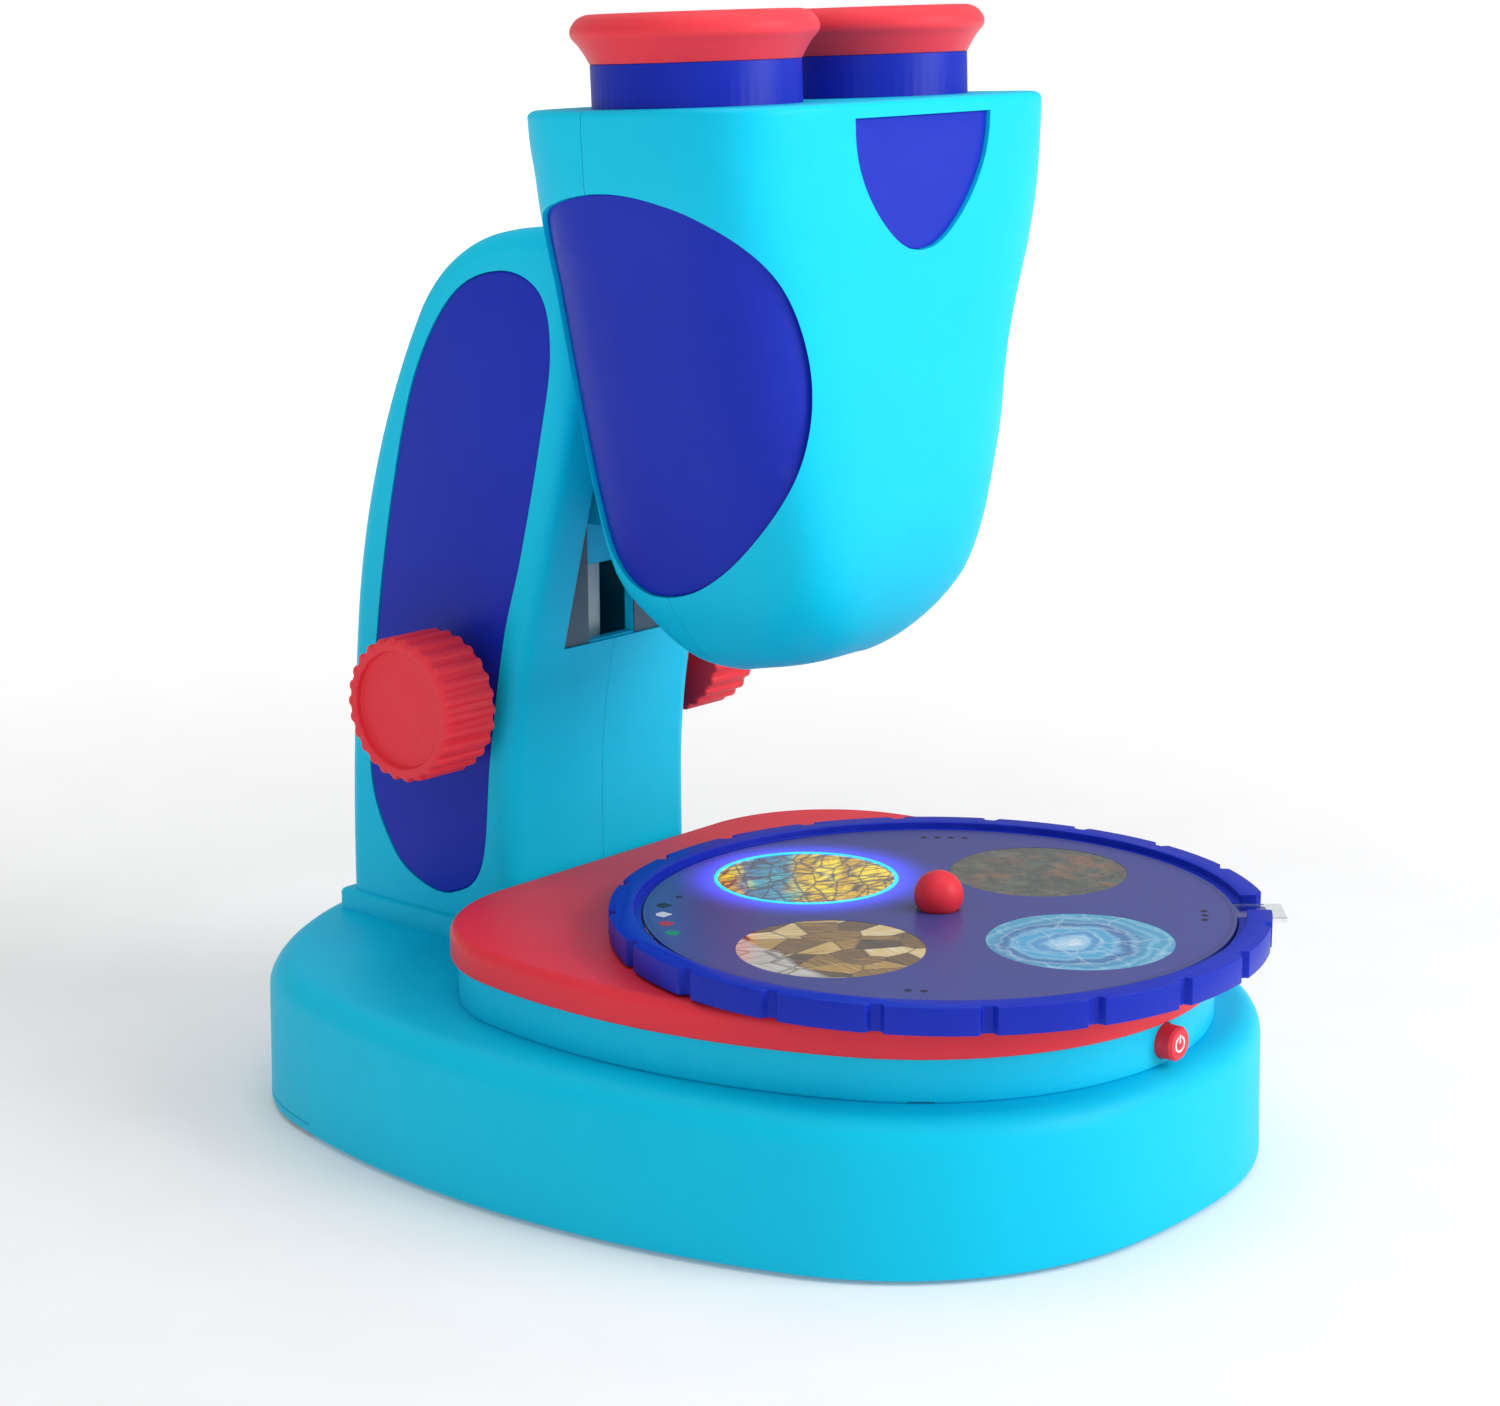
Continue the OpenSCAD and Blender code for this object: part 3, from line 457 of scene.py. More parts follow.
def blank_material(name):
    material = bpy.data.materials.new(name)
    material.use_nodes = True
    tree = material.node_tree
    for node in list(tree.nodes):
        tree.nodes.remove(node)
    w = Wiring(tree)
    shader = w.add("ShaderNodeBsdfPrincipled")
    out = w.add("ShaderNodeOutputMaterial")
    tree.links.new(shader.outputs[0], out.inputs["Surface"])
    where = w.add("ShaderNodeTexCoord").outputs["Object"]
    return material, w, shader, where


def rough_bump(w, shader, height, depth_mm, strength=1.0):
    bump = w.add("ShaderNodeBump", {"Strength": strength, "Distance": depth_mm * MM, "Height": height})
    w.feed(shader.inputs["Normal"], bump.outputs[0])


def moulded(name, colour, rough=0.36, grain=0.35, depth=0.012, drift=0.05, wear=0.12, deep=None,
            metal=0.0, coat=0.0, spec=0.5, soft=0.0):
    """Moulded plastic or plain metal: colour drift, grain, scuffs and handled edges at real size."""
    material, w, shader, where = blank_material(name)
    skin = w.group(SKIN, {"Position": where, "Grain size": grain})
    worn = w.group(WEAR, {"Position": where, "Reach": wear})
    pale = tuple(min(1.0, c * 0.55 + 0.45 * max(colour)) for c in colour)
    deep = deep or tuple(c * (1 - 2.4 * drift) for c in colour)
    tint = w.mix(w.remap(skin.outputs["Drift"], 0.3, 0.7), (*deep, 1), (*colour, 1))
    tint = w.mix(worn.outputs["Mask"], tint, (*pale, 1))
    w.feed(shader.inputs["Base Color"], tint)
    shine = w.math("ADD", w.remap(skin.outputs["Drift"], 0.25, 0.75, rough + 0.03, rough - 0.03),
                   w.math("MULTIPLY", skin.outputs["Scuff"], 0.07))
    w.feed(shader.inputs["Roughness"], shine)
    rough_bump(w, shader, skin.outputs["Height"], depth)
    shader.inputs["Metallic"].default_value = metal
    shader.inputs["Coat Weight"].default_value = coat
    shader.inputs["Coat Roughness"].default_value = 0.12
    shader.inputs["Specular IOR Level"].default_value = spec
    shader.inputs["Sheen Weight"].default_value = soft
    shader.inputs["Sheen Roughness"].default_value = 0.5
    return material


def clear_plastic(name, colour, rough=0.06, weight=1.0):
    material, w, shader, where = blank_material(name)
    skin = w.group(SKIN, {"Position": where, "Grain size": 0.8})
    dull = tuple(c * 0.96 for c in colour)
    w.feed(shader.inputs["Base Color"], w.mix(skin.outputs["Drift"], (*colour, 1), (*dull, 1)))
    w.feed(shader.inputs["Roughness"], w.remap(skin.outputs["Scuff"], 0, 1, rough, rough + 0.1))
    shader.inputs["Transmission Weight"].default_value = weight
    shader.inputs["IOR"].default_value = 1.49
    rough_bump(w, shader, skin.outputs["Height"], 0.004, 0.4)
    return material


def window_place(w, where, node):
    """Position inside a specimen window, from -1 to 1 across it."""
    centre = tuple(middle(node) * MM)
    return w.vector("SCALE", w.vector("SUBTRACT", where, centre), scale=1.0 / (WINDOW_R * MM))


def crack_lines():
    """Thin dark cracks: the borders of stretched, bent cells."""
    group, start, end = new_group("crack_lines", [
        ("Place", "NodeSocketVector", None),
        ("Stretch", "NodeSocketVector", (1.0, 1.0, 1.0)),
        ("Width", "NodeSocketFloat", 0.04),
        ("Bend", "NodeSocketFloat", 0.2),
    ], [("Line", "NodeSocketFloat"), ("Cell", "NodeSocketColor")])
    w = Wiring(group)
    _, push = w.noise(start.outputs["Place"], 2.2, 3.0)
    bent = w.vector("ADD", start.outputs["Place"],
                    w.vector("SCALE", w.vector("SUBTRACT", push, (0.5, 0.5, 0.5)),
                             scale=start.outputs["Bend"]))
    spread = w.vector("MULTIPLY", bent, start.outputs["Stretch"])
    border = w.add("ShaderNodeTexVoronoi", {"Vector": spread, "Scale": 1.0}, feature="DISTANCE_TO_EDGE")
    cells = w.add("ShaderNodeTexVoronoi", {"Vector": spread, "Scale": 1.0}, feature="F1")
    gap = w.remap(border.outputs["Distance"], 0.0, start.outputs["Width"])
    w.feed(end.inputs["Line"], w.math("SUBTRACT", 1.0, gap))
    w.feed(end.inputs["Cell"], cells.outputs["Color"])
    return group


CRACKS = crack_lines()


def printed_window(name, node, painter, glow=0.0):
    """A specimen print under clear gloss; a glow value adds a painted backlight as emission."""
    material, w, shader, where = blank_material(name)
    colour, height = painter(w, window_place(w, where, node))
    w.feed(shader.inputs["Base Color"], colour)
    shader.inputs["Roughness"].default_value = 0.16
    shader.inputs["Coat Weight"].default_value = 0.6
    shader.inputs["Coat Roughness"].default_value = 0.05
    rough_bump(w, shader, height, 0.03, 0.25)
    # painted light: emission in the print's own colour stands in for the stage lamp shining up through the
    # window
    if glow:
        w.feed(shader.inputs["Emission Color"], colour)
        shader.inputs["Emission Strength"].default_value = glow
    return material


def paint_crystal(w, place):
    turned_place = w.spin(place, math.radians(-38))
    flow, _ = w.noise(w.vector("MULTIPLY", turned_place, (1.2, 3.4, 1)), 1.0, 5.0, 0.6, 0.6)
    gold = w.ramp(flow, (0.28, (0.20, 0.09, 0.01)), (0.42, (0.62, 0.36, 0.01)), (0.55, (0.90, 0.66, 0.02)),
                  (0.75, (0.98, 0.86, 0.32)))
    blue = w.ramp(flow, (0.30, (0.02, 0.06, 0.10)), (0.45, (0.02, 0.20, 0.36)), (0.58, (0.04, 0.38, 0.42)),
                  (0.75, (0.25, 0.42, 0.10)))
    across = w.add("ShaderNodeSeparateXYZ", {"Vector": turned_place}).outputs["Y"]
    wavy = w.math("ADD", across, w.math("MULTIPLY", w.math("SUBTRACT", flow, 0.5), 0.9))
    band = w.math("MULTIPLY", w.remap(wavy, 0.05, 0.25), w.remap(wavy, 0.85, 0.6))
    colour = w.mix(band, gold, blue)
    for angle, stretch, width in ((20, (1.1, 5.5, 1), 0.10), (-35, (1.4, 4.2, 1), 0.07),
                                  (62, (0.9, 3.2, 1), 0.05)):
        lines = w.group(CRACKS, {"Place": w.spin(place, math.radians(angle)), "Stretch": stretch,
                                 "Width": width, "Bend": 0.16})
        colour = w.mix(w.math("MULTIPLY", lines.outputs["Line"], 0.85), colour, (0.015, 0.012, 0.05, 1))
    return colour, flow


def paint_pyrite(w, place):
    spun = w.spin(place, math.radians(28))
    blocks = w.group(CRACKS, {"Place": spun, "Stretch": (2.1, 3.1, 1), "Width": 0.05, "Bend": 0.05})
    tone = w.add("ShaderNodeSeparateColor", {"Color": blocks.outputs["Cell"]})
    lean = w.math("MULTIPLY", tone.outputs[1], 1.4)
    fine, _ = w.noise(w.vector("MULTIPLY", w.spin(spun, lean), (2.0, 26.0, 1)), 1.0, 4.0, 0.6)
    level = w.blend(tone.outputs[0], 0.6, fine, 0.55)
    gold = w.ramp(level, (0.25, (0.03, 0.012, 0.003)), (0.45, (0.20, 0.09, 0.015)),
                  (0.62, (0.50, 0.27, 0.05)), (0.78, (0.85, 0.58, 0.20)), (0.92, (0.98, 0.90, 0.70)))
    quartz = w.ramp(fine, (0.3, (0.42, 0.36, 0.30)), (0.7, (0.80, 0.77, 0.72)))
    pale, _ = w.noise(place, 1.3, 3.0)
    left = w.add("ShaderNodeSeparateXYZ", {"Vector": place})
    edge = w.blend(left.outputs["X"], -0.75, left.outputs["Y"], 0.2)
    mask = w.remap(w.math("ADD", edge, w.math("MULTIPLY", pale, 0.5)), 0.66, 0.74)
    colour = w.mix(mask, gold, quartz)
    return w.mix(w.math("MULTIPLY", blocks.outputs["Line"], 0.7), colour, (0.02, 0.01, 0.004, 1)), fine


def paint_lava(w, place):
    lumps, _ = w.noise(place, 4.5, 8.0, 0.68, 0.3)
    ground = w.ramp(lumps, (0.32, (0.008, 0.012, 0.010)), (0.50, (0.045, 0.055, 0.040)),
                    (0.62, (0.13, 0.12, 0.07)), (0.78, (0.26, 0.24, 0.15)))
    rust, _ = w.noise(place, 2.1, 5.0, 0.6)
    colour = w.mix(w.math("MULTIPLY", w.remap(rust, 0.50, 0.66), 0.75), ground, (0.26, 0.075, 0.018, 1))
    moss, _ = w.noise(w.vector("ADD", place, (3, 1, 0)), 2.6, 5.0, 0.6)
    colour = w.mix(w.math("MULTIPLY", w.remap(moss, 0.55, 0.70), 0.5), colour, (0.05, 0.16, 0.12, 1))
    holes = w.add("ShaderNodeTexVoronoi", {"Vector": place, "Scale": 9.0, "Randomness": 1.0}, feature="F1")
    pit = w.remap(holes.outputs["Distance"], 0.32, 0.18)
    return w.mix(w.math("MULTIPLY", pit, 0.75), colour, (0.004, 0.005, 0.004, 1)), lumps


def paint_agate(w, place):
    _, push = w.noise(place, 1.6, 4.0, 0.55)
    bent = w.vector("ADD", w.vector("SUBTRACT", place, (-0.12, 0.05, 0)),
                    w.vector("SCALE", w.vector("SUBTRACT", push, (0.5, 0.5, 0.5)), scale=0.55))
    reach = w.vector("LENGTH", w.vector("MULTIPLY", bent, (1, 1.15, 0)))
    rings = w.math("SINE", w.math("MULTIPLY", reach, 34.0))
    body = w.ramp(reach, (0.0, (0.78, 0.90, 0.97)), (0.16, (0.30, 0.62, 0.88)), (0.34, (0.04, 0.30, 0.66)),
                  (0.52, (0.02, 0.40, 0.72)), (0.72, (0.01, 0.16, 0.42)), (0.95, (0.03, 0.36, 0.60)))
    colour = w.mix(w.remap(rings, -0.2, 1.0, 0.0, 0.35), body, (0.45, 0.78, 0.92, 1))
    spark, _ = w.noise(place, 16.0, 4.0, 0.7)
    heart = w.math("MULTIPLY", w.remap(reach, 0.22, 0.05), w.remap(spark, 0.45, 0.62))
    colour = w.mix(heart, colour, (0.92, 0.96, 1.0, 1))
    vein = w.group(CRACKS, {"Place": place, "Stretch": (2.6, 1.4, 1), "Width": 0.04, "Bend": 0.5})
    return w.mix(w.math("MULTIPLY", vein.outputs["Line"], 0.35), colour, (0.75, 0.90, 0.98, 1)), spark


def card_print():
    """The disc's printed face: a satin grey violet, with a painted blue glow of the stage lamp's light
    around the lit window.
    """
    material, w, shader, where = blank_material("printed_card")
    skin = w.group(SKIN, {"Position": where, "Grain size": 0.25})
    base = w.mix(skin.outputs["Drift"], (0.050, 0.056, 0.260, 1), (0.068, 0.074, 0.300, 1))
    lit = tuple(middle("specimen_crystal") * MM)
    flat = w.vector("MULTIPLY", w.vector("SUBTRACT", where, lit), (1, 1, 0))
    far = w.math("DIVIDE", w.vector("LENGTH", flat), MM)
    painted_lamp_glow = w.math("POWER", w.remap(far, WINDOW_R + 13.0, WINDOW_R, 0.0, 1.0), 2.6)
    hub = w.vector("MULTIPLY", w.vector("SUBTRACT", where, (0, TRAY_Y * MM, 0)), (1, 1, 0))
    reach = w.math("DIVIDE", w.vector("LENGTH", hub), MM)
    border = w.math("MULTIPLY", w.remap(reach, 61.2, 61.6), w.remap(reach, 62.2, 61.8))
    base = w.mix(w.math("MULTIPLY", border, 0.5), base, (0.03, 0.035, 0.12, 1))
    w.feed(shader.inputs["Base Color"], base)
    w.feed(shader.inputs["Roughness"], w.remap(skin.outputs["Drift"], 0.3, 0.7, 0.30, 0.36))
    shader.inputs["Specular IOR Level"].default_value = 0.35
    # painted light: the card emits blue around the lit window in place of the stage lamp's light from below
    w.feed(shader.inputs["Emission Color"], (0.05, 0.07, 1.0, 1))
    w.feed(shader.inputs["Emission Strength"], w.math("MULTIPLY", painted_lamp_glow, 1.6))
    rough_bump(w, shader, skin.outputs["Height"], 0.006, 0.3)
    return material


def glow(name, colour, strength):
    material, w, shader, where = blank_material(name)
    skin = w.group(SKIN, {"Position": where, "Grain size": 1.5})
    w.feed(shader.inputs["Base Color"], (*colour, 1))
    w.feed(shader.inputs["Emission Color"], (*colour, 1))
    level = w.remap(skin.outputs["Height"], 0.3, 0.7, strength * 0.9, strength * 1.1)
    w.feed(shader.inputs["Emission Strength"], level)
    return material


FINISH = {name: moulded(name, colour, **settings) for name, colour, settings in (
    ("cyan_shell", (0.0, 0.62, 0.88), dict(rough=0.46, spec=0.16, wear=0.05, deep=(0.0, 0.58, 0.85))),
    ("royal_plastic", (0.006, 0.026, 0.48),
     dict(rough=0.42, spec=0.18, wear=0.04, deep=(0.005, 0.022, 0.44))),
    ("coral_plastic", (0.88, 0.040, 0.062),
     dict(rough=0.42, spec=0.22, wear=0.06, deep=(0.84, 0.036, 0.056))),
    ("soft_coral", (0.88, 0.045, 0.068), dict(rough=0.50, grain=0.22, soft=0.05, spec=0.25, wear=0.05,
                                              deep=(0.84, 0.040, 0.060))),
    ("rubber_dark", (0.02, 0.02, 0.022), dict(rough=0.75, depth=0.04)),
    ("screw_steel", (0.56, 0.57, 0.60), dict(rough=0.28, metal=1.0, grain=0.15, wear=0.3)),
    ("contact_metal", (0.66, 0.63, 0.55), dict(rough=0.24, metal=1.0, grain=0.2, wear=0.3)),
    ("black_plastic", (0.02, 0.02, 0.024), dict(rough=0.5)),
    ("cell_sleeve", (0.62, 0.42, 0.10), dict(rough=0.25, coat=0.4, grain=1.2)),
    ("board_green", (0.01, 0.13, 0.05), dict(rough=0.35, coat=0.5, grain=0.6)),
    ("lamp_white", (0.9, 0.88, 0.72), dict(rough=0.2, coat=0.5)),
    ("white_mark", (0.90, 0.90, 0.90), dict(rough=0.35)),
    ("bush_white", (0.78, 0.78, 0.80), dict(rough=0.5)),
    ("gear_white", (0.78, 0.78, 0.74), dict(rough=0.45)),
    ("port_teal", (0.004, 0.075, 0.13), dict(rough=0.4)),
    ("mirror_face", (0.92, 0.93, 0.94), dict(rough=0.03, metal=1.0, depth=0.0005, wear=0.0)),
)}
FINISH["ring_clear"] = clear_plastic("ring_clear", (0.80, 0.93, 1.0), 0.2)
FINISH["clear_disc"] = clear_plastic("clear_disc", (0.95, 0.97, 1.0))
FINISH["optic_clear"] = clear_plastic("optic_clear", (0.96, 0.98, 1.0), 0.01)
FINISH["printed_card"] = card_print()
# painted light: only the crystal print glows, as if lit from below by the stage lamp
for rock, painter, lamp in (("crystal", paint_crystal, 0.55), ("pyrite", paint_pyrite, 0.0),
                            ("lava", paint_lava, 0.0), ("agate", paint_agate, 0.0)):
    FINISH[rock + "_specimen"] = printed_window(rock + "_specimen", "specimen_" + rock, painter, glow=lamp)


# ---- base ---------------------------------------------------------------------------------
def base_pieces():
    arcs = base_arcs()
    foot = 0.8
    body = loft("base_shell_fine", rounded(arcs, foot, BASE_TOP, top_r=6, low_r=0.8, flare=0.6, inset=0.6,
                                           step=1.2, count=8))
    inner = loft("base_hollow", [flat_ring(outline(arcs, 3.0, 3), z) for z in (-2, BASE_TOP - 2.4)])
    carve(body, inner)
    rear = block("rear_zone", (-120, COVER_Y, foot + 2.2), (120, 140, COVER_TOP))
    cover = twin(body, "rear_cover_fine")
    keep = block("rear_keep", (-120, COVER_Y + 0.02, foot + 2.4), (120, 140, COVER_TOP - 0.02))
    carve(cover, keep, "INTERSECT")
    carve(body, rear)
    # collar that the arm stands in, with a softened edge
    y0, y1 = span("arm_right")[0][1] + 20.4, ARM_BACK_Y + 1.5
    low, high = BASE_TOP - 1.5, ARM_LOW
    rings = []
    for inset, z in ((0, low), (0, high - 0.9), (0.25, high - 0.35), (0.9, high - 0.02)):
        rings.append(flat_ring(round_box(-32 + inset, y0 + inset, 32 - inset, y1 - inset, 1.6), z))
    merge_into(body, loft("collar", rings))
    place(body, "base_shell")
    place(cover, "rear_cover")
    plate = loft("base_bottom_fine", rounded(arcs, foot, foot + 2.0, low_r=0.8, inset=0.0, step=1.5))
    carve(plate, block("front_zone", (-120, -140, -2), (120, COVER_Y, 10)))
    inner_plate = loft("inner_plate", [flat_ring(outline(arcs, 3.2, 3), z) for z in (foot, foot + 1.9)])
    carve(inner_plate, block("rear_cut", (-120, COVER_Y, -2), (120, 140, 10)))
    merge_into(plate, inner_plate)
    place(plate, "base_bottom")


def round_box(x0, y0, x1, y1, r, count=6):
    points = []
    corners = ((x1 - r, y1 - r, 0), (x0 + r, y1 - r, 90), (x0 + r, y0 + r, 180), (x1 - r, y0 + r, 270))
    for cx, cy, first in corners:
        for k in range(count + 1):
            points.append(np.array([cx, cy]) + r * ahead(first + 90 * k / count))
    return np.array(points)


# ---- stage --------------------------------------------------------------------------------
def stage_pieces():
    arcs = plate_arcs()
    riser = loft("stage_housing_fine", rounded(arcs, BASE_TOP + 0.02, PLATE_LOW - 0.02, low_r=0.5, inset=1.6,
                                               step=1.2))
    inner = outline(arcs, 4.0, 3)
    carve(riser, loft("riser_hollow", [flat_ring(inner, z) for z in (BASE_TOP - 2, PLATE_LOW + 2)]))
    button = middle("power_button")
    carve(riser, plug("button_hole", (0, button[1], button[2]), (0, 1, 0), 3.78, 30))
    latch = block("latch_slot", (-2.7, -1.4, -0.3), (2.7, 1.4, 0.42))
    latch_at = Matrix.Translation(Vector((-50.0, -81.2, BASE_TOP)) * MM)
    latch.data.transform(latch_at @ Matrix.Rotation(-0.887, 4, "Z"))
    carve(riser, latch)
    place(riser, "stage_housing")
    plate = loft("stage_plate_fine", rounded(arcs, PLATE_LOW, PLATE_TOP, top_r=2.2, low_r=0.8, step=1.0,
                                             count=7))
    inner = outline(arcs, 3.0, 3)
    carve(plate, loft("plate_hollow", [flat_ring(inner, z) for z in (PLATE_LOW - 2, PLATE_TOP - 3)]))
    carve(plate, plug("lamp_hole", (PORT[0], PORT[1], PLATE_LOW + 5), (0, 0, 1), 21.2, 30))
    shoulder = PLATE_TOP - 2.9
    hub = turned("tray_spindle", [(9, PLATE_LOW), (9, shoulder), (4, shoulder), (4, PLATE_LOW + 10.5),
                                  (3.5, PLATE_LOW + 11)], (0, TRAY_Y, 0))
    merge_into(plate, hub)
    place(plate, "stage_plate")


def tray_pieces():
    """Ball grip, a blue ring with a painted glow round the lit window, and the printed dots that number the
    four windows.
    """
    ball_r = 5.3
    ball = float(span("tray_knob")[1][2]) - ball_r
    profile = [(3.9, CARD_TOP - 1.0 - ball), (3.9, CARD_TOP - ball), (4.2, CARD_TOP - ball)]
    first = math.asin((CARD_TOP - ball) / ball_r)
    for k in range(1, 25):
        a = first + (math.pi / 2 - first) * k / 24.5
        profile.append((5.28 * math.cos(a), 5.28 * math.sin(a)))
    place(turned("tray_knob_fine", profile, (0, TRAY_Y, ball)), "tray_knob")
    lit = middle("specimen_crystal")
    top = CARD_TOP
    # painted light: an emissive blue ring round the lit window stands in for the stage lamp's light through
    # the clear rim
    section = [(0, -0.05), (0.05, 0.16), (0.4, 0.22), (0.75, 0.16), (0.9, -0.05)]
    rim = tube_of_profile("painted_glow_window_rim", [(WINDOW_R + out, top + lift) for out, lift in section],
                          (lit[0], lit[1], 0), (0, 0, 1), 128)
    detail(rim, "tray", glow("painted_glow_rim", (0.02, 0.42, 1.0), 1.5))
    dots, dot_reach = [], 56.0
    for k, node in enumerate(("specimen_crystal", "specimen_pyrite", "specimen_agate", "specimen_lava")):
        centre = middle(node)
        outward = math.atan2(centre[1] - TRAY_Y, centre[0])
        for i in range(k + 1):
            a = outward + math.radians(31 + 3.2 * i)
            at = (dot_reach * math.cos(a), TRAY_Y + dot_reach * math.sin(a), 0)
            dots.append(turned("window_dot", [(0.75, top - 0.02), (0.75, top + 0.03)], at, count=32))
    marks = dots[0]
    merge_into(marks, *dots[1:])
    marks.name = "window_dots"
    detail(marks, "tray", moulded("print_black", (0.012, 0.012, 0.02), rough=0.5, wear=0.0))
    gem = np.array([[2.0, 0], [0.75, 1.5], [-0.75, 1.5], [-2.0, 0], [0, -2.0]])
    gem_tints = ((0.01, 0.30, 0.16), (0.50, 0.02, 0.04), (0.75, 0.75, 0.78), (0.012, 0.012, 0.02))
    for k, colour in enumerate(gem_tints):
        outward = ahead(147 - 6.5 * k)
        facing = np.array([[outward[1], -outward[0]], [outward[0], outward[1]]])
        ring = gem @ facing + 58.5 * outward + np.array([0, TRAY_Y])
        mark = loft("gem_mark_%d" % k, [flat_ring(ring, top - 0.02), flat_ring(ring, top + 0.03)])
        detail(mark, "tray", moulded("print_gem_%d" % k, colour, rough=0.45, wear=0.0))


# ---- arm ----------------------------------------------------------------------------------
def side_ring(points, x):
    return np.column_stack([np.full(len(points), x), points])


PANEL_CURVE = [(55.2, 78), (50.2, 105), (44.5, 124), (38.2, 149), (34.4, 169), (37.2, 182), (48.5, 186.2),
               (63.5, 180.5), (76.3, 162), (85.1, 133), (91.2, 101), (94.7, 68.5), (88.2, 51), (78.9, 44.1),
               (68.3, 43.4), (58.8, 51.5)]


def arm_pieces():
    arcs = arm_arcs()
    r = 5.0
    levels = [(0.0, 0.06), (0.0, ARM_HALF - r)]
    for k in range(1, 10):
        a = math.radians(90 * k / 9)
        levels.append((r * (1 - math.cos(a)), ARM_HALF - r * (1 - math.sin(a))))
    body = loft("arm_right_fine", [side_ring(outline(arcs, d, 0.8), x) for d, x in levels])
    carve(body, loft("arm_hollow", [side_ring(outline(arcs, 2.4, 2), x) for x in (-1, ARM_HALF - 3.2)]))
    guide_y, slot_low, slot_high, half = 46.3, 101.0, 184.0, 16.5
    wall = block("channel_wall", (0.06, 20, slot_low - 2.4), (half + 2.4, guide_y + 2.4, slot_high + 2.4))
    bound = loft("arm_bound", [side_ring(outline(arcs, 0.4, 2), x) for x in (-2, ARM_HALF - 3)])
    carve(wall, bound, "INTERSECT")
    carve(body, wall, "UNION")
    carve(body, block("channel", (-1, 10, slot_low), (half, guide_y, slot_high)))
    carve(body, block("neck_slot", (-1, guide_y - 1, slot_low + 0.4), (7.4, guide_y + 4, 171.5)))
    carve(body, block("flat_foot", (-1, 0, 0), (60, 140, ARM_LOW)))
    carve(body, plug("shaft_hole", (ARM_HALF, KNOB[1], KNOB[2]), (1, 0, 0), 3.1, 30))
    panel_line = spline(PANEL_CURVE)
    carve(body, loft("panel_recess", [side_ring(panel_line, x) for x in (ARM_HALF - 1.2, ARM_HALF + 2)]))
    place(mirrored(body, "arm_left_fine"), "arm_left")
    place(body, "arm_right")
    rings = []
    top = ARM_HALF - 0.12
    rings.append(side_ring(shrink_outline(panel_line, 0.16), ARM_HALF - 1.15))
    for k in range(6):
        a = math.radians(90 * k / 5)
        rings.append(side_ring(shrink_outline(panel_line, 0.16 + 0.45 * (1 - math.cos(a))),
                               top - 0.45 * (1 - math.sin(a))))
    # painted shade: a dark teal sheet over the guide wall and round the neck slot paints the shadow the head
    # casts into the channel
    front, rear, side_x, foot = guide_y - 0.3, guide_y - 0.02, half - 0.05, slot_low + 0.05
    shade_sheet = block("channel_shade_sheet", (7.6, front, foot), (side_x, rear, 171.4))
    merge_into(shade_sheet, block("shade_sheet_left", (-side_x, front, foot), (-7.6, rear, 171.4)),
               block("shade_sheet_top", (-side_x, front, 171.6), (side_x, rear, slot_high - 0.05)))
    detail(shade_sheet, "stand", FINISH["port_teal"])
    panel = loft("arm_panel_right_fine", rings)
    carve(panel, plug("knob_hole", (ARM_HALF, KNOB[1], KNOB[2]), (1, 0, 0), 8.2, 20))
    place(mirrored(panel, "arm_panel_left_fine"), "arm_panel_left")
    place(panel, "arm_panel_right")


KNOB_LOBES = 26
KNOB_POINTS = KNOB_LOBES * 24


def knob_reach(angles):
    """Distance from the axis to the ribbed rim: rounded lobes over a round body."""
    pitch = 2 * math.pi / KNOB_LOBES
    off = (angles + pitch / 2) % pitch - pitch / 2
    lobe_at, lobe_r, body_r = KNOB_R - 1.35, 1.35, KNOB_R - 0.7
    inside = np.maximum(0.0, lobe_r ** 2 - (lobe_at * np.sin(off)) ** 2)
    return np.maximum(body_r, np.where(inside > 0, lobe_at * np.cos(off) + np.sqrt(inside), 0))


def knob_pieces():
    """Ribbed focus knobs with a rounded rim and a shallow dished face."""
    angles = np.arange(KNOB_POINTS) * 2 * math.pi / KNOB_POINTS
    ribbed = knob_reach(angles)
    hub, outer = span("knob_right")[0][0], float(span("knob_right")[1][0])
    inner = ARM_HALF + 6.5
    stations = [(7.2, hub + 0.02), (7.55, hub + 0.4), (7.6, inner)]
    for turn in (0, 30, 60, 90):
        a = math.radians(turn)
        stations.append((ribbed - 0.7 * (1 - math.sin(a)), inner + 0.7 * (1 - math.cos(a))))
    for turn in (0, 15, 30, 45, 60, 75, 90):
        a = math.radians(turn)
        stations.append((ribbed - 1.1 * (1 - math.cos(a)), outer - 1.1 * (1 - math.sin(a))))
    dish = [(13.55, 0), (13.3, 0.06), (13.14, 0.25), (13.1, 0.6), (13.1, 1.2), (12.95, 1.45), (12.6, 1.58),
            (8, 1.62), (0.4, 1.64)]
    stations += [(reach, outer - depth) for reach, depth in dish]
    rings = []
    for reach, x in stations:
        rings.append(np.column_stack([np.full(KNOB_POINTS, x), KNOB[1] + reach * np.cos(angles),
                                      KNOB[2] + reach * np.sin(angles)]))
    knob = loft("knob_right_fine", rings)
    carve(knob, plug("shaft_socket", (ARM_HALF + 9, KNOB[1], KNOB[2]), (1, 0, 0), 3.02, 18, 48))
    place(mirrored(knob, "knob_left_fine"), "knob_left", angle=40)
    place(knob, "knob_right", angle=40)


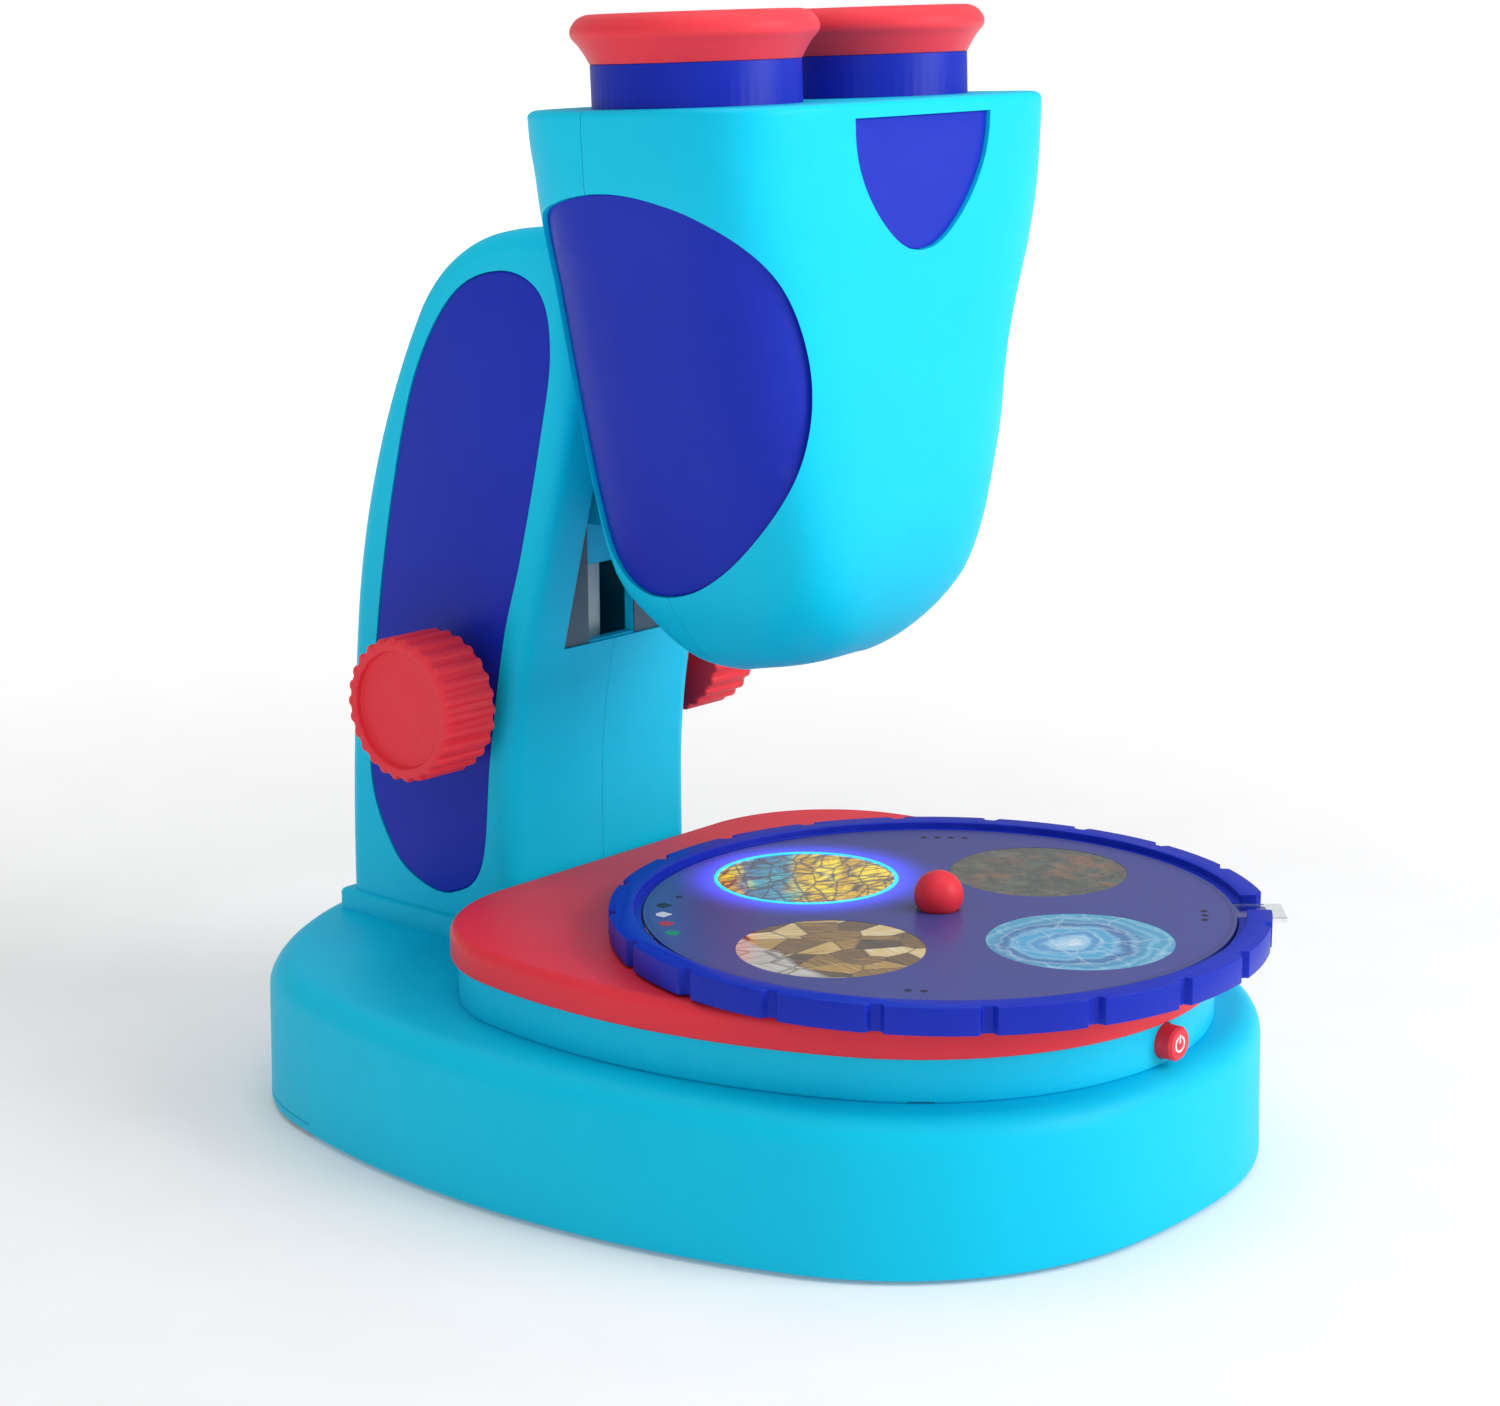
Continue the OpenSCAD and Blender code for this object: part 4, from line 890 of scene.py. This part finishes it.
# ---- head ---------------------------------------------------------------------------------
# height, half width, front Y and back Y of the head, from the nose up
HEAD_STATIONS = [(100.6, 0.4, 1.6, 2.4), (103, 13, -12, 13), (107, 19, -24, 17), (112, 23.5, -30.5, 19.5),
                 (119, 28.6, -35.5, 22.6), (128, 32.4, -39, 24.4), (138, 35.4, -40.6, 25.2),
                 (184, 47.4, -41.6, 25.9), (207, 53, -42, 26.4), (216, 53.6, -42.2, 27.7),
                 (228, 53.9, -42.3, 28.5)]
NOSE_Z = HEAD_STATIONS[0][0]


def smooth_curve(xs, ys, x):
    """Monotone cubic through the stations."""
    xs, ys = np.array(xs), np.array(ys)
    h = np.diff(xs)
    d = np.diff(ys) / h
    m = np.zeros(len(xs))
    m[0], m[-1] = d[0], d[-1]
    for i in range(1, len(xs) - 1):
        if d[i - 1] * d[i] > 0:
            a, b = 2 * h[i] + h[i - 1], h[i] + 2 * h[i - 1]
            m[i] = (a + b) / (a / d[i - 1] + b / d[i])
    i = int(np.clip(np.searchsorted(xs, x) - 1, 0, len(h) - 1))
    t = (x - xs[i]) / h[i]
    return ((1 + 2 * t) * (1 - t) ** 2 * ys[i] + t * (1 - t) ** 2 * h[i] * m[i]
            + t * t * (3 - 2 * t) * ys[i + 1] + t * t * (t - 1) * h[i] * m[i + 1])


def head_section(z):
    """Half width, front Y and back Y of the head at a height."""
    us = [math.sqrt(s[0] - NOSE_Z) for s in HEAD_STATIONS]
    u = math.sqrt(max(0.0, z - NOSE_Z))
    return [smooth_curve(us, [s[k] for s in HEAD_STATIONS], u) for k in (1, 2, 3)]


def head_ring(z, inset=0.0, count=288):
    """The head's section at a height, as a squared-off oval with evenly spaced points."""
    half, front, back = head_section(z)
    a, b, m = half - inset, (back - front) / 2 - inset, (back + front) / 2
    power = 2.3 + 2.7 * min(1.0, max(0.0, (z - NOSE_Z) / 22.0))
    t = np.linspace(0, 2 * math.pi, 1441)
    c, s = np.cos(t), np.sin(t)
    x = a * np.sign(c) * np.abs(c) ** (2 / power)
    y = m + b * np.sign(s) * np.abs(s) ** (2 / power)
    run = np.concatenate([[0], np.cumsum(np.hypot(np.diff(x), np.diff(y)))])
    at = np.arange(count) * run[-1] / count
    return np.column_stack([np.interp(at, run, x), np.interp(at, run, y)])


def head_top_z(y):
    return HEAD_TOP + (y - EYE_Y) * -math.tan(math.radians(LEAN))


def head_rings(inset=0.0, lift=0.0, edge=1.6, roof=0.0, count=288):
    """Rings from the nose up; the last ones lean with the top face and round its edge."""
    rings = []
    reach = HEAD_TOP - roof - edge - NOSE_Z - lift
    levels, nose_levels = 70, 25
    for k in range(1, levels + 1):
        if k <= nose_levels:
            z = NOSE_Z + 0.05 + reach * (k / levels) ** 2.0
        else:
            start = 0.05 + reach * (nose_levels / levels) ** 2.0
            z = NOSE_Z + start + (reach - start) * (k - nose_levels) / (levels - nose_levels)
        ring = flat_ring(head_ring(z, inset, count), z + lift)
        w = max(0.0, (z - 196) / (HEAD_TOP - 196)) ** 1.5
        ring[:, 2] += w * (head_top_z(ring[:, 1]) - HEAD_TOP)
        rings.append(ring)
    if edge:
        for k in range(1, 8):
            a = math.radians(90 * k / 7)
            flat = head_ring(HEAD_TOP - roof, inset + edge * (1 - math.cos(a)), count)
            z = head_top_z(flat[:, 1]) - roof - edge * (1 - math.sin(a))
            rings.append(np.column_stack([flat, z]))
    return rings


def head_point(s, z, off=0.0):
    """A point on the head at height z, s along its skin: s is Y on the left side and grows backwards."""
    _, front, back = head_section(z)
    ring = head_ring(z, -off, 288)
    start = int(np.argmin(ring[:, 0] + 1e-3 * np.abs(ring[:, 1] - (front + back) / 2)))
    ring = np.roll(ring, -start, axis=0)
    y0 = ring[0, 1]
    closed = np.vstack([ring, ring[:1]])
    run = np.concatenate([[0], np.cumsum(np.hypot(*np.diff(closed, axis=0).T))])
    at = (y0 - s) % run[-1]
    return np.array([np.interp(at, run, closed[:, 0]), np.interp(at, run, closed[:, 1]), z])


def patch(name, line, levels, point, inner):
    """A thin patch on the skin: the line at each (inset, height off the skin), closed to its middle."""
    mid = line.mean(0)

    def filled(level, shares):
        inset, off = level
        ring = shrink_outline(line, inset)
        return [np.array([point(mid + (p - mid) * share, off) for p in ring]) for share in shares]

    rings = filled(levels[0], inner)
    for level in levels:
        rings += filled(level, [1.0])
    return loft(name, rings + filled(levels[-1], inner[::-1]))


def skin_patch(name, curve, levels):
    """A patch that follows the head's skin round its side."""
    return patch(name, curve, levels, lambda p, off: head_point(p[0], p[1], off), [0.12, 0.35, 0.6, 0.85])


# the panel's outline, as (distance along the skin, height)
TEAR_CURVE = [(21.2, 184), (21.0, 194), (18.4, 200.4), (10.8, 203.8), (2.2, 205.6), (-6, 205.9),
              (-14.6, 204.9), (-24.4, 202.5), (-33.0, 198.2), (-39.4, 192.0), (-43.0, 184.5),
              (-44.7, 175.5), (-44.3, 166.8),
              (-41.6, 157.6), (-36.6, 148.2), (-28.9, 138.8), (-18.6, 129.8), (-7.6, 123.2), (2.0, 120.2),
              (10.0, 120.6), (16.0, 125.6), (19.2, 134), (20.6, 148), (21.1, 165)]


def shield_curve():
    """A shield under the front edge, as (distance along the skin, height)."""
    right = smooth_open([(22.4, 220.6), (22.0, 215.5), (20.6, 210.5), (17.8, 205.4), (13.8, 200.5),
                         (8.9, 196.3), (4.4, 194.0), (0, 193.3)], 6)
    line = right + [(-x, z) for x, z in right[-2::-1]]
    top = [(-22.4 + 44.8 * k / 12, 220.6) for k in range(1, 12)]
    return line, top


def front_point(p, off):
    """A point on the head's front face, given by its X and height."""
    half, front, back = head_section(p[1])
    b, m = (back - front) / 2 + off, (back + front) / 2
    x = float(np.clip(abs(p[0]) / (half + off), 0, 1))
    return np.array([p[0], m - b * (1 - x ** 5) ** 0.2, p[1]])


def front_patch(name, line, levels):
    """The same for the shield, measured across the front face."""
    return patch(name, line, levels, front_point, [0.15, 0.5, 0.8])


def head_pieces():
    shell = loft("head_front_fine", head_rings())
    carve(shell, loft("head_hollow", head_rings(inset=2.4, lift=2.6, edge=0, roof=2.4, count=96)))
    lean = Matrix.Rotation(math.radians(-LEAN), 3, "X")
    up = lean @ Vector((0, 0, 1))
    flange = 1.6
    barrel = (span("eyepiece_right")[1][0] - span("eyepiece_right")[0][0]) / 2 - flange
    for sign in (-1, 1):
        carve(shell, plug("barrel_hole", (sign * EYE_X, EYE_Y, HEAD_TOP), up, barrel + 0.12, 30, 128))
    carve(shell, plug("port_hole", (PORT[0], PORT[1], 110), (0, 0, 1), 13.1, 30, 96))
    tear = spline(TEAR_CURVE, 10)
    shield_side, shield_top = shield_curve()
    shield = np.array(shield_side + shield_top)
    edge_levels = [(0.16, -PANEL_FLOOR + 0.02)]
    for k in range(6):
        a = math.radians(18 * k)
        edge_levels.append((0.16 + 0.2 * (1 - math.cos(a)), -PANEL_DROP - 0.2 * (1 - math.sin(a))))
    cutter = skin_patch("tear_cutter", tear, [(0, -PANEL_FLOOR), (0, 2.0)])
    other = mirrored(cutter, "tear_cutter_right")
    carve(shell, cutter)
    carve(shell, other)
    carve(shell, front_patch("shield_cutter", shield, [(0, -PANEL_FLOOR), (0, 2.0)]))
    rear = twin(shell, "head_back_fine")
    carve(shell, block("front_keep", (-90, -90, 80), (90, SPLIT_Y - 0.07, 260)), "INTERSECT")
    carve(rear, block("back_keep", (-90, SPLIT_Y + 0.09, 80), (90, 90, 260)), "INTERSECT")
    carve(rear, block("neck_window", (-7.1, 10, 127.9), (7.1, 45, 160.1)))
    for x in (-HEAD_SCREW_X, HEAD_SCREW_X):
        post = plug("screw_post", (x, (27 + SPLIT_Y) / 2, HEAD_SCREW_Z), (0, 1, 0), 4.2, 26.8 - SPLIT_Y, 48)
        carve(post, loft("post_bound", head_rings(inset=0.3, edge=0, roof=1.0)), "INTERSECT")
        carve(rear, post, "UNION")
        carve(rear, plug("screw_hole", (x, SCREW_SEAT + 12, HEAD_SCREW_Z), (0, 1, 0), 3.1, 24, 48))
        carve(rear, plug("screw_bore", (x, SCREW_SEAT, HEAD_SCREW_Z), (0, 1, 0), 1.45, 60, 32))
    for x in (-22, 22):
        merge_into(rear, plug("frame_post", (x, 19.2, 153.2), (0, 1, 0), 2.8, 10.4, 32))
    place(shell, "head_front")
    place(rear, "head_back")
    panel = skin_patch("head_panel_left_fine", tear, edge_levels)
    place(mirrored(panel, "head_panel_right_fine"), "head_panel_right")
    place(panel, "head_panel_left")
    place(front_patch("front_shield_fine", shield, edge_levels), "front_shield")


def eyepiece_pieces():
    """Soft rolled eyecups over plain barrels."""
    up = (Matrix.Rotation(math.radians(-LEAN), 3, "X") @ Vector((0, 0, 1)))
    cup = [(17.0, 3.2), (21.3, 9.0), (21.5, 8.9), (22.3, 10.4), (23.6, 12.4), (24.9, 13.9), (25.25, 15.0),
           (24.95, 16.2), (23.9, 17.6), (22.4, 18.4), (20.9, 18.6), (19.2, 18.2), (17.9, 16.8), (17.2, 14.8),
           (17.0, 12.0)]
    profile = [cup[0], (19.3, 3.2), (19.3, 8.9)] + smooth_open(cup[1:], 6)
    for sign, name in ((-1, "eyecup_left"), (1, "eyecup_right")):
        centre = np.array([sign * EYE_X, EYE_Y, HEAD_TOP])
        place(tube_of_profile(name + "_fine", profile, centre, up, 160), name, angle=40)


def smooth_open(points, steps):
    p = np.array(points, float)
    p = np.vstack([2 * p[0] - p[1], p, 2 * p[-1] - p[-2]])
    out = []
    for i in range(1, len(p) - 2):
        a, b, c, d = p[i - 1], p[i], p[i + 1], p[i + 2]
        for k in range(steps):
            t = k / steps
            out.append(tuple(0.5 * (2 * b + (c - a) * t + (2 * a - 5 * b + 4 * c - d) * t * t
                                    + (3 * b - a - 3 * c + d) * t ** 3)))
    out.append(tuple(p[-2]))
    return out


def tube_of_profile(name, profile, centre, axis, count):
    """A closed ring: the (radius, height) loop is turned all the way round the axis."""
    turn = np.array(Vector((0, 0, 1)).rotation_difference(Vector(axis)).to_matrix())
    angles = np.arange(count) * 2 * math.pi / count
    points, faces = [], []
    n = len(profile)
    for radius, height in profile:
        ring = np.column_stack([radius * np.cos(angles), radius * np.sin(angles), np.full(count, height)])
        points.append(ring @ turn.T + np.array(centre, float))
    for k in range(n):
        j = (k + 1) % n
        for i in range(count):
            o = (i + 1) % count
            faces.append((k * count + i, k * count + o, j * count + o, j * count + i))
    return make_object(name, np.concatenate(points), faces)


# ---- carried-over CAD pieces --------------------------------------------------------------
SOFT_EDGES = {"specimen_tray": 0.30, "power_button": 0.25, "eyepiece_left": 0.2, "eyepiece_right": 0.2,
              "head_carriage": 0.4, "objective_tube": 0.25}


def dress_cad_nodes():
    """CAD pieces that stay get their finish, clean shading and, where they show, softened edges."""
    for name, node in NODES.items():
        if node.hide_render:
            continue
        node.data.shade_smooth()
        for slot in node.material_slots:
            slot.material = FINISH[SLOT_OF[name]]
        weld = node.modifiers.new("weld", "WELD")
        weld.merge_threshold = 0.002 * MM
        if name in SOFT_EDGES:
            planes = node.modifiers.new("planes", "DECIMATE")
            planes.decimate_type = "DISSOLVE"
            planes.angle_limit = math.radians(0.3)
            bevel = node.modifiers.new("soft_edge", "BEVEL")
            bevel.width = SOFT_EDGES[name] * MM
            bevel.segments = 3
            bevel.limit_method = "ANGLE"
            bevel.angle_limit = math.radians(38)
            bevel.use_clamp_overlap = True
            bevel.harden_normals = True
        else:
            crisp = node.modifiers.new("crisp_edges", "EDGE_SPLIT")
            crisp.split_angle = math.radians(32)


base_pieces()
stage_pieces()
tray_pieces()
arm_pieces()
knob_pieces()
head_pieces()
eyepiece_pieces()
dress_cad_nodes()


# ---- studio -------------------------------------------------------------------------------
SKY_LIGHT = 0.40   # how much the white surround lights the object


def studio_floor():
    bpy.ops.mesh.primitive_circle_add(vertices=128, radius=6.0, fill_type="NGON", location=(0, 0, 0))
    floor = bpy.context.object
    floor.name = "studio_floor"
    material, w, shader, where = blank_material("studio_floor")
    reach = w.vector("LENGTH", where)
    fine, _ = w.noise(where, 40.0, 3.0)
    w.feed(shader.inputs["Base Color"], w.ramp(fine, (0.3, (0.86, 0.86, 0.86)), (0.7, (0.88, 0.88, 0.88))))
    shader.inputs["Roughness"].default_value = 0.65
    w.feed(shader.inputs["Emission Color"], (1, 1, 1, 1))
    w.feed(shader.inputs["Emission Strength"], w.remap(reach, 0.25, 1.2, 0.12, 0.9))
    floor.data.materials.append(material)


def soft_lamp(name, place_m, aim, size, watts, colour=(1, 1, 1)):
    data = bpy.data.lights.new(name, "AREA")
    data.shape = "RECTANGLE"
    data.size, data.size_y = size
    data.energy = watts
    data.color = colour
    lamp = bpy.data.objects.new(name, data)
    lamp.location = place_m
    lamp.rotation_euler = (Vector(aim) - Vector(place_m)).to_track_quat("-Z", "Y").to_euler()
    bpy.context.scene.collection.objects.link(lamp)


def studio_light():
    world = bpy.data.worlds.new("studio_world")
    bpy.context.scene.world = world
    world.use_nodes = True
    w = Wiring(world.node_tree)
    sky = world.node_tree.nodes["Background"]
    sky.inputs["Color"].default_value = (1.0, 1.0, 1.0, 1)
    seen = w.add("ShaderNodeLightPath").outputs["Is Camera Ray"]
    w.feed(sky.inputs["Strength"], w.remap(seen, 0, 1, SKY_LIGHT, 1.0))
    soft_lamp("front_key", (0.45, -1.15, 0.70), (0, -0.05, 0.08), (0.8, 0.8), 12)
    soft_lamp("side_fill", (-1.0, -0.55, 0.75), (0, 0, 0.12), (0.9, 0.9), 1.2)
    soft_lamp("top_box", (0.1, -0.1, 1.25), (0, 0, 0), (1.1, 1.1), 6)
    bpy.context.scene.view_settings.view_transform = "Standard"


def photo_camera():
    yaw, pitch, roll = (math.radians(a) for a in (-49.561, 13.155, -0.26))
    back = Vector((math.sin(yaw) * math.cos(pitch), -math.cos(yaw) * math.cos(pitch), math.sin(pitch)))
    right = Vector((math.cos(yaw), math.sin(yaw), 0))
    up = back.cross(right)
    across = right * math.cos(roll) + up * math.sin(roll)
    upright = up * math.cos(roll) - right * math.sin(roll)
    camera = bpy.data.cameras.new("photo_camera")
    camera.lens = 76.86
    camera.sensor_width = 36
    camera.clip_start = 0.01
    holder = bpy.data.objects.new("photo_camera", camera)
    turn = Matrix((across, upright, back)).transposed().to_4x4()
    holder.matrix_world = Matrix.Translation(Vector((-521.92, -439.97, 252.05)) * MM) @ turn
    bpy.context.scene.collection.objects.link(holder)
    bpy.context.scene.camera = holder


studio_floor()
studio_light()
photo_camera()
